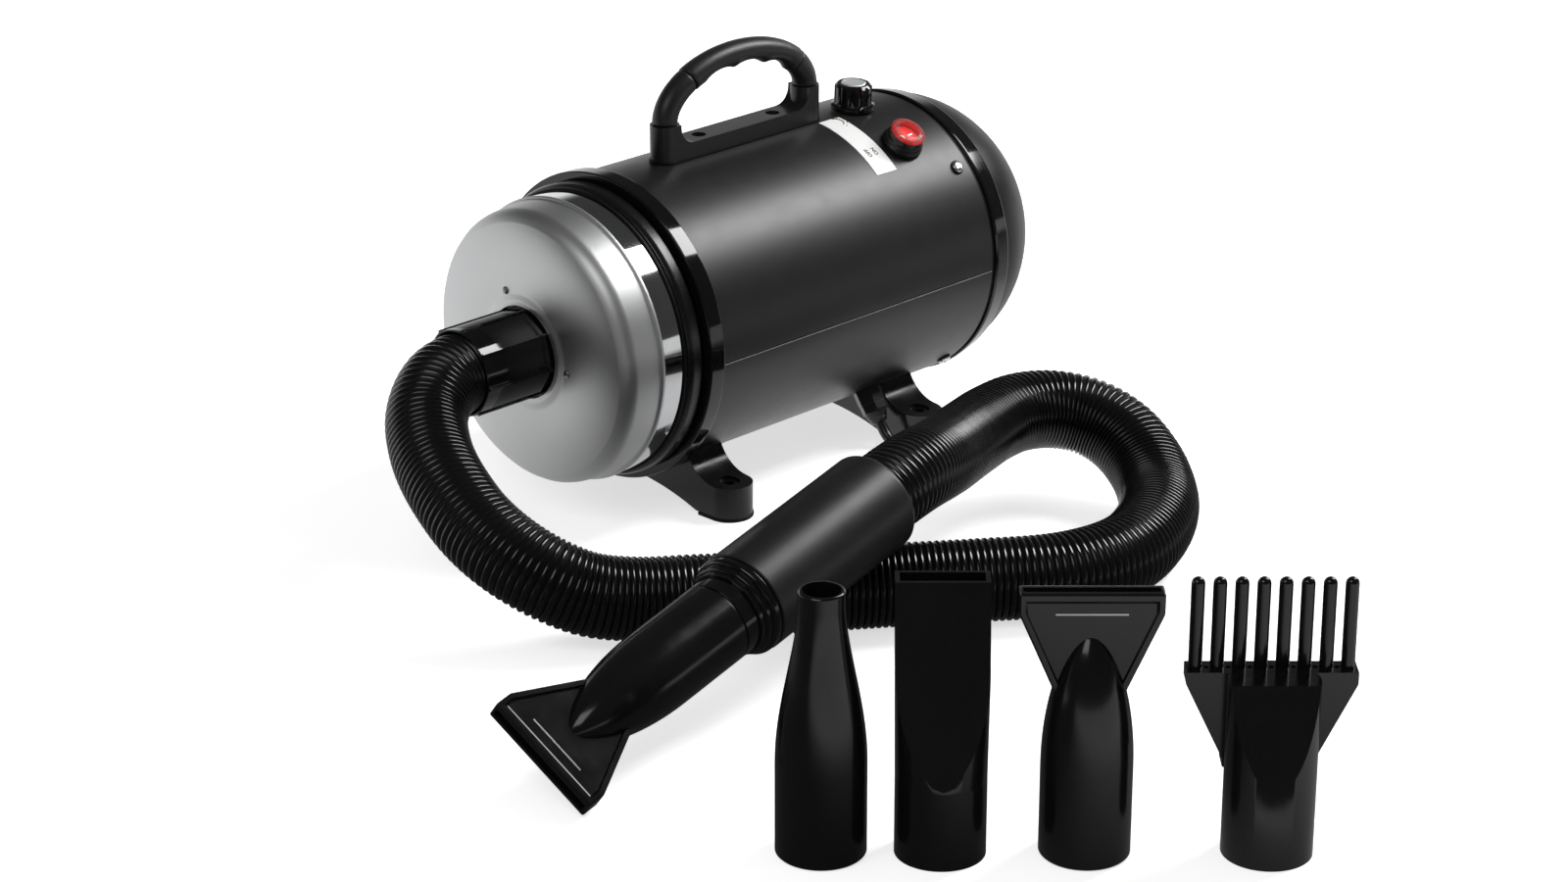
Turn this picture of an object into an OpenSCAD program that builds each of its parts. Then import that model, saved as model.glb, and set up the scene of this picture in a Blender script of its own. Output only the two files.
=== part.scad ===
// Pet dryer: barrel blower with a ribbed air hose, a hand wand and push-fit nozzles.
// +Z is up and the floor is z = 0. +X runs from the outlet bowl to the rear intake.
// The origin is the centre of the four foot holes. Sizes are millimetres and degrees.

/* [Barrel] */
// Outer radius of the steel barrel
barrel_r = 85; // [80:1:92]
// Length of the barrel tube
barrel_len = 231; // [220:1:250]
// Wall of the barrel tube
barrel_wall = 1.5; // [1:0.1:2.5]
// Height of the barrel's axis above the floor
axis_h = 102; // [100:1:112]
// Front edge of the barrel, measured along its axis
barrel_x0 = -106.2; // [-108:0.1:-104]

/* [Front end] */
// Width of the gloss band at the front of the barrel
band_w = 10.5; // [8:0.5:18]
// How far the gloss band stands out from the barrel
band_t = 3.2; // [2:0.1:4]
// Width of the front clamp ring
ring_w = 9.3; // [7:0.1:12]
// Width of the polished band round the bowl
steel_band_w = 13.6; // [10:0.1:18]
// Depth of the bowl in front of its band
bowl_depth = 30.2; // [28:0.1:34]
// Sheet thickness of the bowl
bowl_wall = 1.2; // [0.8:0.1:1.5]
// Radius of the flat middle of the bowl's face
bowl_flat_r = 40.8; // [38:0.1:44]

/* [Outlet collar and hose] */
// Radius over the ridges of the outlet collar
collar_r = 26; // [25.5:0.1:28]
// Length of collar in front of the bowl
collar_len = 47.6; // [46:0.1:56]
// Radius of the hose over its ribs
hose_r = 22.2; // [21.5:0.1:22.2]
// Gap between the hose and the bores that it enters
hose_gap = 1.1; // [0.8:0.1:1.2]
// Radius of the hose's bore
hose_bore_r = 19.4; // [17:0.1:19.8]
// Number of ribs along the hose
hose_ribs = 165; // [120:1:180]

/* [Rear end] */
// Width of the gloss ring at the rear
rear_ring_w = 12.9; // [10:0.1:16]
// Length of the rear dome's ellipse along the axis
dome_len = 76.3; // [70:0.1:84]
// Radius of the intake grille
grille_r = 44; // [40:0.5:46]

/* [Handle] */
// Distance between the centres of the handle's posts
handle_span = 111.8; // [106:0.1:116]
// How far the middle of the handle lies in front of the middle of the barrel
handle_lead = 11.1; // [0:0.1:20]
// Radius of the posts
post_r = 8.4; // [7.8:0.1:9]
// Height of the arch above the tops of the posts
arch_h = 29.7; // [28:0.1:36]
// Radius of the soft grip
grip_r = 7.5; // [7:0.1:8.2]
// Depth of the finger grooves
groove_d = 2.2; // [1:0.1:2.6]

/* [Controls] */
// Radius of the speed knob's body
knob_r = 11; // [10.5:0.1:12]
// Height of the speed knob
knob_h = 15; // [14:0.1:18]
// Radius of the round rocker
rocker_r = 8.2; // [7.6:0.1:8.3]
// Swing of the rocker from off to on
rocker_swing = 16; // [10:1:16]

/* [Feet] */
// Distance between the foot holes along the barrel
foot_pitch_x = 157; // [150:1:160]
// Distance between the foot holes across the barrel
foot_pitch_y = 142; // [140:1:150]
// Width of a bracket along the barrel
bracket_w = 26; // [24:1:27]
// Radius of the holes in the feet
foot_hole_r = 2.75; // [2:0.05:3.5]
// Height of the top of a foot
foot_h = 20; // [18:0.5:22]
// Thickness of the rubber pad under a foot
pad_t = 2; // [1.5:0.1:3]

/* [Mains lead] */
// Diameter of the lead
lead_d = 6.5; // [6:0.1:7]
// Radius of the coil's outer turn, to the middle of the lead
coil_r = 46.5; // [46:0.1:50]
// Turns in each layer of the coil
coil_turns = 3; // [2:1:3]

/* [Wand and nozzles] */
// Radius of the wand's grip tube
wand_r = 27.2; // [26.5:0.1:29]
// Length of the wand's grip tube
wand_len = 110; // [100:1:120]
// Radius of a nozzle's socket, outside
socket_r = 21.4; // [21:0.1:23]
// Radius of the spigot that a nozzle slides over
spigot_r = 18.6; // [18:0.1:18.8]
// Length of spigot inside the nozzle
spigot_len = 25; // [20:1:30]
// Height of a nozzle
nozzle_h = 132; // [128:1:140]
// Width of the fan nozzle's mouth
fan_w = 66; // [60:1:70]
// Width of the comb nozzle
comb_w = 79; // [74:1:84]

/* [Motor] */
// Radius of the fan's cover
shroud_r = 66; // [62:1:70]
// Radius of the fan
fan_r = 58; // [54:1:60]
// Radius of the motor's frame
motor_r = 43; // [40:1:48]
// Radius of the motor's shaft
shaft_r = 4; // [3:0.5:5]

/* [Hidden] */

$fn = 64;
eps = 0.01;

// Places along the axis, each from its neighbour.
flange_t = 2.5;
band_x0 = barrel_x0 - flange_t;
seal_w = 2.6;
ring_x1 = band_x0 - seal_w;
ring_x0 = ring_x1 - ring_w;
gasket_w = 2.1;
gasket_x0 = ring_x0 - gasket_w;
steel_x0 = gasket_x0 - steel_band_w;
bowl_x0 = steel_x0 - bowl_depth;
collar_x0 = bowl_x0 - collar_len;
barrel_x1 = barrel_x0 + barrel_len;
rear_gasket_w = 2.6;
rear_ring_x0 = barrel_x1 + rear_gasket_w;
rear_ring_x1 = rear_ring_x0 + rear_ring_w;
sleeve_l = rear_gasket_w + 19.4;

// Radii of the rings in front of the barrel, all from the barrel's radius.
throat_r = barrel_r - 9;
steel_r = barrel_r - 4.6;
skirt_r = steel_r - 1.4;
barrel_in = barrel_r - barrel_wall;
bowl_bead_r = steel_r + 0.4;
shoulder_r = barrel_r - 7.8;
bowl_corner = 9.4;

// Collar.
collar_bore = hose_r + hose_gap;
collar_flange_r = 39;
rivet_at_r = 35;
rivet_r = 1.2;
hose_seat = 44.6;

// Rear dome: an ellipse of revolution, ended by the grille's seat.
dome_r = barrel_r - 2;
dome_wall = 1.6;
dome_back = 1.9;
dome_x0 = rear_ring_x0 + dome_back;
grille_seat_r = grille_r + 4;
grille_t = 2.5;
grille_x1 = dome_x0 + dome_len * sqrt(1 - pow(grille_seat_r / dome_r, 2));
filter_t = 7;

// Handle.
handle_x = barrel_x0 + barrel_len / 2 - handle_lead;
post_h = 21.3;
base_h = 9.6;
handle_gasket_t = 1.2;
post_top = axis_h + barrel_r + post_h;
base_top = axis_h + barrel_r + base_h;
handle_fillet = 10;
sleeve_step = 1.2;
post_face = 5;
handle_screw_dx = 29.5;
fixing_r = 2.2;
front_split = 47;
rear_split = 145.6;

// Controls.
knob_x = barrel_x1 - 34.8;
knob_angle = 92.8;
knob_lift = 0.5;
skirt_h = 3;
knob_skirt_r = knob_r + 1.9;
pot_shaft_r = 3;
pot_r = 9;
knob_cap_r = knob_r - 3.7;
knob_chamfer = 1.6;
nut_h = 2;
run = 0.05;
rocker_x = barrel_x1 - 36.8;
rocker_angle = 122;
pivot_r = barrel_r + 1.5;
rocker_up = 5.2;
rocker_down = 3.5;
rocker_room = 1;
switch_r = rocker_r + rocker_room + 1;
boot_r = switch_r + 2.1;
boot_h = 10.5;
strip_x0 = barrel_x1 - 69.5;
strip_w = 16.2;
strip_from = 97;
strip_to = 132;
strip_t = 0.35;

// Casing screws.
screw_x = barrel_x1 - 9.5;
screw_first = 48.8;
screw_r = 1.6;
washer_r = 4.3;
washer_t = 0.8;
head_r = 3.2;

// Feet.
foot_r = bracket_w / 2;
saddle_web = 5;
saddle_floor = axis_h - barrel_r - saddle_web;
leg_r = 24;
leg_y = foot_pitch_y / 2 + 2;
arch_r = 167;
bracket_screw_angle = 20;
bracket_screw_r = 2;

// Gland and lead.
gland_x = 55.5;
gland_angle = -125;
gland_r = 6;
gland_hex = 8.2;
gland_hex_h = 9;
gland_cap_h = 12;
gland_cap_r = 7.4;
tie_room = 1.1;
coil_z = lead_d / 2 + tie_room;
coil_gap = 0.7;
coil_pitch = lead_d + coil_gap;
coil_at = [61, 150];
coil_end = coil_turns * 2 + 0.25;
coil_rings = 24;
plug_w = 26;
plug_t = 20;
plug_l = 34;
plug_relief = 30;

// The route of the lead from the gland's mouth, round the foot and under the barrel to the coil.
lead_points = [
    [55.5, -60.8, 15.2], [55.5, -64.5, 9.9], [55.5, -69, 6.2], [55.5, -75, 4.2], [55.5, -81, 3.6],
    [55.5, -88, 3.5], [59, -101, 3.5], [68.5, -110.5, 3.5], [81.5, -114, 3.5], [94.5, -110.5, 3.5],
    [104, -101, 3.5], [107.5, -88, 3.5], [107.5, -70, 3.5], [107.5, -50, 3.5], [107.5, -30, 3.5],
    [107.5, -10, 3.5], [107.5, 10, 3.5], [107.5, 30, 3.5], [107.5, 50, 3.5], [107.5, 70, 3.5],
    [107.5, 90, 3.5], [107.5, 110, 3.7], [107.5, 126, 4.1], [107.5, 137, 4.35], [107.5, 143.5, 4.35]
];

// The route of the hose from the collar's seat, down to the floor, round its loop and up to the wand.
hose_points = [
    [-169.5, 0, 102], [-184, 0, 102], [-199, 0, 102], [-214.1, 0, 102], [-227, -2, 100.5], [-239, -7, 96],
    [-250, -15, 89], [-259, -27, 82], [-267, -42, 75], [-274, -62, 67], [-278, -85, 57], [-276, -108, 47],
    [-267, -128, 37], [-252, -143, 28], [-232, -157, 23.5], [-208, -174, 22.5], [-183, -194, 22.5],
    [-150, -219, 22.5], [-119, -242, 22.5], [-88, -266, 22.5], [-56, -289, 22.5], [-30, -298, 22.5],
    [-4, -298.5, 22.5], [22, -290, 22.5], [46, -277, 22.5], [67, -260, 23], [82, -240, 29],
    [88, -220, 38], [86, -204, 45], [78, -190, 50], [64, -179, 53], [46, -173, 54], [24, -174, 54],
    [0, -182, 56], [-24, -193, 60], [-50, -207, 66], [-76, -221, 73], [-100, -231, 77.5], [-120, -236, 77.6],
    [-138.5, -237.8, 74.5], [-153.2, -239.2, 71.7], [-167.8, -240.7, 68.9], [-182.5, -242.1, 66.1]
];
rib_round = 8;

// Wand, standing on the hose's front run with the nozzle's mouth on the floor.
wand_at = [-138.5, -237.8, 74.5];
wand_yaw = 185.6;
wand_dip = 10.7;
wand_roll = 51;
wand_bore = hose_r + hose_gap;
hose_in_wand = 45;
step_w = 12;
neck_w = 9;
nozzle_in = wand_len + step_w + neck_w;
push_fit = 0.05;

// Loose nozzles, in a row that faces the same way.
row_at = [-333, -387];
row_angle = -45.5;
row_gap = 12;

// Nozzle forms.
nozzle_wall = 1.8;
socket_h = 45;
bullet_h = 67;
slot_t = 5;
fan_t = 8;
fan_neck = 83;
fan_lip = 121.6;
tine_r = 3.2;
tine_inset = 1.2;
tines = 8;
comb_neck = 43;
comb_step = 0.7;
comb_top = 87;
cut_low = 39;
flat_t = 13;

// Motor and air path, placed from the bulkhead towards the front.
bulkhead_x = 38;
bulkhead_t = 2;
eye_r = 22;
shroud_l = 44;
shroud_wall = 1.6;
fan_l = 24;
motor_l = 78;
stator_l = 36;
shroud_x0 = bulkhead_x - shroud_l;
motor_x0 = shroud_x0 - motor_l;
bearing_r = 11;
bearing_w = 7;
air_gap = 0.8;
cradle_t = 3;
heater_side = 98;
heater_x0 = gasket_x0 + 3;
heater_t = 16;

// ---- helpers ----

// A solid turned round the barrel's axis, from [radius, x] points.
module turned(points) {
    translate([0, 0, axis_h]) rotate([0, 90, 0]) rotate_extrude($fn = 96) polygon(points);
}

// A ring whose two outer edges are rounded by f.
function ring_points(ri, ro, x0, x1, f) = concat(
    [[ri, x0], [ri, x1]],
    [for (k = [0:3]) [ro - f + f * sin(30 * k), x1 - f + f * cos(30 * k)]],
    [for (k = [0:3]) [ro - f + f * cos(30 * k), x0 + f - f * sin(30 * k)]]);

module ring(ri, ro, x0, x1, f = 0.6) {
    turned(ring_points(ri, ro, x0, x1, f));
}

// Children stand on the barrel at x and the angle a, with +Z outwards and z = 0 on the axis.
module radial(x, a) {
    translate([x, 0, axis_h]) rotate([a - 90, 0, 0]) children();
}

module barrel_core(r = barrel_r) {
    translate([-300, 0, axis_h]) rotate([0, 90, 0]) cylinder(r = r, h = 600, $fn = 360);
}

// Vector arithmetic for swept tubes.
function unit(v) = v / norm(v);
function tangent(p, i) = unit(p[min(i + 1, len(p) - 1)] - p[max(i - 1, 0)]);
function side_of(t) = unit(cross([0, 0, 1], t));
function ring_at(c, t, r, n) =
    let (s = side_of(t), u = cross(t, s))
    [for (k = [0:n - 1]) c + r * (cos(360 * k / n) * s + sin(360 * k / n) * u)];

// Faces between m rings of n points, the first of which starts at point b.
function wall_faces(m, n, b = 0) = [
    for (i = [0:m - 2], k = [0:n - 1]) each
    let (a0 = b + i * n + k, a1 = b + i * n + (k + 1) % n)
    [[a0, a0 + n, a1 + n], [a0, a1 + n, a1]]
];
function turn_over(faces) = [for (f = faces) [f[0], f[2], f[1]]];
function cap_faces(n, b, far) = [
    for (k = [1:n - 2]) far ? [b, b + k + 1, b + k] : [b, b + k, b + k + 1]
];

// A solid tube through rings of n points.
module skin(rings) {
    n = len(rings[0]);
    m = len(rings);
    polyhedron(
        points = [for (r = rings) each r],
        faces = concat(wall_faces(m, n), cap_faces(n, 0, false), cap_faces(n, (m - 1) * n, true)),
        convexity = 6);
}

// A point at the distance s along a smooth curve through the points.
function chord_sums(p, i = 0, sum = 0) =
    i == len(p) - 1 ? [sum] : concat([sum], chord_sums(p, i + 1, sum + norm(p[i + 1] - p[i])));
function span_of(sums, s, i = 0) =
    i >= len(sums) - 2 || s < sums[i + 1] ? i : span_of(sums, s, i + 1);
function slope(p, sums, i) =
    i == 0 ? (p[1] - p[0]) / (sums[1] - sums[0])
    : i == len(p) - 1 ? (p[i] - p[i - 1]) / (sums[i] - sums[i - 1])
    : (p[i + 1] - p[i - 1]) / (sums[i + 1] - sums[i - 1]);
function along(p, sums, s) =
    let (i = span_of(sums, s), h = sums[i + 1] - sums[i], t = (s - sums[i]) / h,
         m0 = slope(p, sums, i) * h, m1 = slope(p, sums, i + 1) * h)
    (2 * t * t * t - 3 * t * t + 1) * p[i] + (t * t * t - 2 * t * t + t) * m0
    + (3 * t * t - 2 * t * t * t) * p[i + 1] + (t * t * t - t * t) * m1;

// ---- barrel and front end ----

module barrel() {
    color("#3a3b3d") difference() {
        turned([[barrel_in, barrel_x0], [barrel_r, barrel_x0], [barrel_r, barrel_x1],
            [barrel_in, barrel_x1]]);
        radial((barrel_x0 + barrel_x1) / 2, -177)
            translate([-barrel_len, -0.3, barrel_r - 0.5]) cube([2 * barrel_len, 0.6, 2]);
        radial(knob_x, knob_angle) cylinder(r = pot_shaft_r + 1, h = barrel_r + 5, $fn = 32);
        radial(rocker_x, rocker_angle) cylinder(r = switch_r, h = barrel_r + 5);
        radial(gland_x, gland_angle) cylinder(r = gland_r, h = barrel_r + 5);
        for (k = [0:3]) radial(screw_x, screw_first + 90 * k)
            cylinder(r = screw_r, h = barrel_r + 5, $fn = 24);
        for (s = [-1, 1]) radial(handle_x + s * handle_screw_dx, 90)
            cylinder(r = fixing_r, h = barrel_r + 5, $fn = 24);
        bracket_screw_places() cylinder(r = bracket_screw_r, h = barrel_r + 5, $fn = 24);
    }
}

module front_band() {
    color("#161616") {
        ring(barrel_r, barrel_r + band_t, band_x0, band_x0 + band_w, 1);
        turned([[throat_r, band_x0], [barrel_r + eps, band_x0], [barrel_r + eps, barrel_x0],
            [throat_r, barrel_x0]]);
    }
}

module front_seal() {
    color("#0a0a0a") ring(throat_r, steel_r - 0.4, ring_x1, band_x0, 0.4);
}

module front_ring() {
    color("#222222") ring(throat_r, barrel_r - 1.3, ring_x0, ring_x1, 1);
}

module bowl_gasket() {
    color("#0c0c0c") ring(throat_r, steel_r + 1.2, gasket_x0, ring_x0, 0.5);
}

module bowl_band() {
    color("#c9cacc") ring(skirt_r, steel_r, steel_x0, gasket_x0, 0.3);
}

// Outer curve of the bowl from the collar's hole to its bead, moved inwards by w.
function bowl_curve(w) = concat(
    [[collar_r + 0.2, bowl_x0 - 1.2 + w], [collar_r + 3.2, bowl_x0 - 1.2 + w], [collar_r + 6.8, bowl_x0 + w],
     [bowl_flat_r, bowl_x0 + w]],
    [for (a = [10:10:90]) [bowl_flat_r + (shoulder_r - bowl_flat_r - w) * sin(a),
        bowl_x0 + bowl_corner - (bowl_corner - w) * cos(a)]]);

module front_bowl() {
    outside = concat(bowl_curve(0), [[bowl_bead_r - 1.4, steel_x0 - 2.6], [bowl_bead_r, steel_x0 - 1.6],
        [bowl_bead_r, steel_x0], [skirt_r, steel_x0], [skirt_r, gasket_x0]]);
    inside = concat(bowl_curve(bowl_wall), [[skirt_r - bowl_wall, steel_x0 - 2],
        [skirt_r - bowl_wall, gasket_x0]]);
    n = len(inside);
    color("#b9babc") difference() {
        turned(concat(outside, [for (i = [n - 1:-1:0]) inside[i]]));
        rivet_places() cylinder(r = rivet_r, h = 40, center = true, $fn = 24);
    }
}

module rivet_places() {
    for (k = [0:2]) translate([bowl_x0, 0, axis_h]) rotate([120 * k + 7, 0, 0])
        translate([0, -rivet_at_r, 0]) rotate([0, 90, 0]) children();
}

module collar_rivets() {
    color("#8e8f92") rivet_places() {
        translate([0, 0, -1.3]) cylinder(r1 = 1.5, r2 = 2.3, h = 0.6, $fn = 24);
        translate([0, 0, -0.7]) cylinder(r = 2.3, h = 0.7, $fn = 24);
        cylinder(r = rivet_r, h = 6, $fn = 24);
    }
}

// The collar's section: eight flats with a ridge at each corner.
module collar_section() {
    intersection() {
        circle(r = collar_r);
        union() {
            rotate(8) circle(r = (collar_r - 1) / cos(22.5) - 0.3, $fn = 8);
            for (k = [0:7]) rotate(8 + 45 * k) translate([collar_r / 2, 0]) square([collar_r, 1.8],
                center = true);
        }
    }
}

module outlet_collar() {
    seat_x = bowl_x0 + bowl_wall;
    color("#151515") difference() {
        translate([0, 0, axis_h]) rotate([0, 90, 0]) union() {
            translate([0, 0, collar_x0]) linear_extrude(height = seat_x - collar_x0 + eps) rotate(90)
                collar_section();
            translate([0, 0, seat_x]) cylinder(r = collar_flange_r, h = 2.4);
        }
        translate([collar_x0 - 1, 0, axis_h]) rotate([0, 90, 0]) cylinder(r = collar_bore,
            h = hose_seat + 1);
        translate([collar_x0 - 1, 0, axis_h]) rotate([0, 90, 0]) cylinder(r = hose_bore_r, h = 90);
        rivet_places() cylinder(r = rivet_r, h = 40, center = true, $fn = 24);
    }
}

// ---- rear end ----

module rear_gasket() {
    color("#0a0a0a") ring(barrel_in, barrel_r - 0.6, barrel_x1, rear_ring_x0, 0.3);
}

module rear_ring() {
    inner = barrel_in - 2.5;
    color("#151515") difference() {
        union() {
            turned([[inner, rear_ring_x0], [barrel_r + 0.4, rear_ring_x0],
                [barrel_r + 1, rear_ring_x0 + 1.2],
                [barrel_r - 1, rear_ring_x1 - 0.7], [barrel_r - 1.6, rear_ring_x1], [inner, rear_ring_x1]]);
            turned([[inner, rear_ring_x0 - sleeve_l], [barrel_in, rear_ring_x0 - sleeve_l],
                [barrel_in, rear_ring_x0 + eps], [inner, rear_ring_x0 + eps]]);
        }
        for (k = [0:3]) radial(screw_x, screw_first + 90 * k)
            cylinder(r = screw_r, h = barrel_r + 5, $fn = 24);
        radial(knob_x, knob_angle) cylinder(r = pot_r + 3, h = barrel_r + 5);
        radial(rocker_x, rocker_angle) cylinder(r = switch_r + 2.5, h = barrel_r + 5);
    }
}

// The dome's curve from the rear ring to the grille's seat, moved inwards by w.
function dome_curve(w) =
    let (a0 = asin((rear_ring_x1 - dome_x0) / (dome_len - w)), a1 = acos(grille_seat_r / dome_r))
    [for (k = [0:12]) let (a = a0 + (a1 - a0) * k / 12)
        [(dome_r - w) * cos(a), dome_x0 + (dome_len - w) * sin(a)]];

module rear_dome() {
    inside = dome_curve(dome_wall);
    lip_r = grille_r + 1.6;
    lip_x0 = grille_x1 - grille_t - filter_t - 1.5;
    color("#242526") {
        turned(concat(dome_curve(0), [[grille_r, grille_x1], [grille_r, grille_x1 - grille_t],
            [grille_r - 1, grille_x1 - grille_t], [grille_r - 1, lip_x0], [lip_r, lip_x0],
            [lip_r, grille_x1 - dome_wall - 1]], [for (k = [12:-1:0]) inside[k]]));
    }
}

module intake_grille() {
    slot_w = 3;
    slots = 5;
    color("#1a1b1c") difference() {
        turned([[0, grille_x1 - grille_t], [grille_r, grille_x1 - grille_t], [grille_r, grille_x1],
            [0, grille_x1]]);
        intersection() {
            turned([[0, grille_x1 - 9], [grille_r - 9, grille_x1 - 9], [grille_r - 9, grille_x1 + 9],
                [0, grille_x1 + 9]]);
            for (k = [-slots:slots]) translate([grille_x1 - 5, k * 2 * slot_w - slot_w / 2,
                axis_h - grille_r])
                cube([10, slot_w, 2 * grille_r]);
        }
        grille_screw_places() cylinder(r = screw_r, h = 30, center = true, $fn = 24);
    }
}

module grille_screw_places() {
    for (k = [0:2]) translate([grille_x1, 0, axis_h]) rotate([120 * k + 90, 0, 0])
        translate([0, grille_r - 4.5, 0]) rotate([0, 90, 0]) children();
}

module grille_screws() {
    color("#9a9b9d") grille_screw_places() pan_screw(grille_t);
}

module intake_filter() {
    color("#4a4b4c") turned([[0, grille_x1 - grille_t - filter_t],
        [grille_r - 1, grille_x1 - grille_t - filter_t],
        [grille_r - 1, grille_x1 - grille_t], [0, grille_x1 - grille_t]]);
}

// A pan-head screw with a cross recess, its head on z = 0 and its shank of length l below.
module pan_screw(l) {
    difference() {
        union() {
            cylinder(r = head_r, h = 1.2, $fn = 32);
            translate([0, 0, 1.2]) cylinder(r1 = head_r, r2 = head_r - 1.2, h = 0.8, $fn = 32);
            translate([0, 0, -l]) cylinder(r = screw_r, h = l + 0.5, $fn = 24);
        }
        for (a = [0, 90]) rotate(a) translate([0, 0, 1.8]) cube([3.2, 0.8, 1.6], center = true);
    }
}

module casing_screws() {
    color("#c4c5c8") for (k = [0:3]) radial(screw_x, screw_first + 90 * k)
        translate([0, 0, barrel_r + washer_t]) pan_screw(washer_t + barrel_wall + 3);
}

module screw_washers() {
    color("#151515") difference() {
        for (k = [0:3]) radial(screw_x, screw_first + 90 * k)
            translate([0, 0, barrel_r - 1]) difference() {
                cylinder(r = washer_r, h = washer_t + 1, $fn = 32);
                translate([0, 0, -1]) cylinder(r = screw_r, h = 5, $fn = 24);
            }
        barrel_core();
    }
}

// ---- carrying handle ----

module handle_plan(r, h) {
    translate([handle_x - handle_span / 2, 0, 0]) cylinder(r = r, h = h);
    translate([handle_x + handle_span / 2, 0, 0]) cylinder(r = r, h = h);
    translate([handle_x - handle_span / 2, -r, 0]) cube([handle_span, 2 * r, h]);
}

// Side outline of the base: two posts, joined to a low bar by fillets.
module handle_outline() {
    half = handle_span / 2;
    floor_z = axis_h + barrel_r - 3;
    inner = half - post_face;
    polygon(concat(
        [[-half - post_r, floor_z], [-half - post_r, post_top], [-inner, post_top]],
        [for (a = [0:15:90]) [-inner + handle_fillet - handle_fillet * cos(a),
            base_top + handle_fillet - handle_fillet * sin(a)]],
        [for (a = [90:-15:0]) [inner - handle_fillet + handle_fillet * cos(a),
            base_top + handle_fillet - handle_fillet * sin(a)]],
        [[inner, post_top], [half + post_r, post_top], [half + post_r, floor_z]]));
}

module handle_base() {
    color("#2b2c2d") difference() {
        union() {
            intersection() {
                handle_plan(post_r, 300);
                translate([handle_x, 50, 0]) rotate([90, 0, 0])
                    linear_extrude(height = 100) handle_outline();
            }
            for (s = [-1, 1]) translate([handle_x + s * handle_span / 2, 0, axis_h + barrel_r - 3])
                cylinder(r = post_r, h = post_h + 3);
        }
        barrel_core(barrel_r + handle_gasket_t);
        for (s = [-1, 1]) translate([handle_x + s * handle_screw_dx, 0, 0]) {
            translate([0, 0, base_top - 5]) cylinder(r = 4.2, h = 30, $fn = 32);
            cylinder(r = fixing_r, h = 2 * post_top, $fn = 24);
        }
    }
}

module handle_gasket() {
    color("#0d0d0d") intersection() {
        difference() {
            handle_plan(post_r + 0.5, 300);
            for (s = [-1, 1]) translate([handle_x + s * handle_screw_dx, 0, 0])
                cylinder(r = fixing_r, h = 2 * post_top, $fn = 24);
        }
        turned([[barrel_r, -100], [barrel_r + handle_gasket_t, -100], [barrel_r + handle_gasket_t, 100],
            [barrel_r, 100]]);
        translate([-150, -20, axis_h]) cube([300, 40, 120]);
    }
}

module handle_screws() {
    color("#77787a") for (s = [-1, 1]) translate([handle_x + s * handle_screw_dx, 0, 0]) {
        translate([0, 0, base_top - 5]) cylinder(r = 3.8, h = 2.4, $fn = 32);
        translate([0, 0, base_top - 22]) cylinder(r = fixing_r, h = 17.5, $fn = 24);
    }
}

// The arch is half an ellipse, from the front post at 0 degrees to the rear post at 180.
function arch_point(a) = [handle_x - handle_span / 2 * cos(a), 0, post_top + arch_h * sin(a)];
function arch_out(a) = unit([-arch_h * cos(a), 0, handle_span / 2 * sin(a)]);
function finger(a) = a < 58 || a > 142 ? 0 : groove_d * pow(sin((a - 58) / 84 * 540), 2);
function arch_ring(a, r, grooved) = [
    for (k = [0:15]) let (b = 22.5 * k, dip = grooved ? finger(a) * max(0, -cos(b)) : 0)
        arch_point(a) + cos(b) * (r - dip) * arch_out(a) - sin(b) * r * [0, 1, 0]
];

// One length of the arch, drawn in a little at both ends.
module arch_piece(from, to, r, steps, grooved = false) {
    d = (to - from) / steps;
    ends = 1;
    skin(concat(
        [arch_ring(from, r - ends, false), arch_ring(from + d * 0.25, r, grooved)],
        [for (i = [1:steps - 1]) arch_ring(from + d * i, r, grooved)],
        [arch_ring(to - d * 0.25, r, grooved), arch_ring(to, r - ends, false)]));
}

module handle_front_sleeve() {
    color("#343536") arch_piece(0, front_split, post_r - sleeve_step, 6);
}

module handle_grip() {
    color("#343536") arch_piece(front_split, rear_split, grip_r, 20, true);
}

module handle_rear_sleeve() {
    color("#343536") arch_piece(rear_split, 180, post_r - sleeve_step, 5);
}

// ---- controls ----

module dial_strip() {
    color("#f1f1ef") intersection() {
        turned([[barrel_r, strip_x0], [barrel_r + strip_t, strip_x0],
            [barrel_r + strip_t, strip_x0 + strip_w],
            [barrel_r, strip_x0 + strip_w]]);
        translate([0, 0, axis_h]) rotate([90, 0, 90]) linear_extrude(height = 200) polygon([[0, 0],
            [200 * cos(strip_from), 200 * sin(strip_from)], [200 * cos((strip_from + strip_to) / 2),
            200 * sin((strip_from + strip_to) / 2)], [200 * cos(strip_to), 200 * sin(strip_to)]]);
    }
}

module speed_knob() {
    flutes = 12;
    color("#131313") radial(knob_x, knob_angle) translate([0, 0, barrel_r + knob_lift]) difference() {
        union() {
            cylinder(r = knob_skirt_r, h = skirt_h - 1);
            translate([0, 0, skirt_h - 1]) cylinder(r1 = knob_skirt_r, r2 = knob_r, h = 1);
            cylinder(r = knob_r, h = knob_h - knob_chamfer);
            translate([0, 0, knob_h - knob_chamfer])
                cylinder(r1 = knob_r, r2 = knob_r - knob_chamfer, h = knob_chamfer);
        }
        for (k = [0:flutes - 1]) rotate(360 / flutes * k) translate([knob_r + 0.9, 0, skirt_h + 0.5])
            cylinder(r = 1.9, h = knob_h, $fn = 24);
        translate([0, 0, knob_h - 0.7]) cylinder(r = knob_cap_r, h = 2);
        translate([0, 0, -1]) cylinder(r = knob_r - 3, h = nut_h + 2);
    }
}

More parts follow.
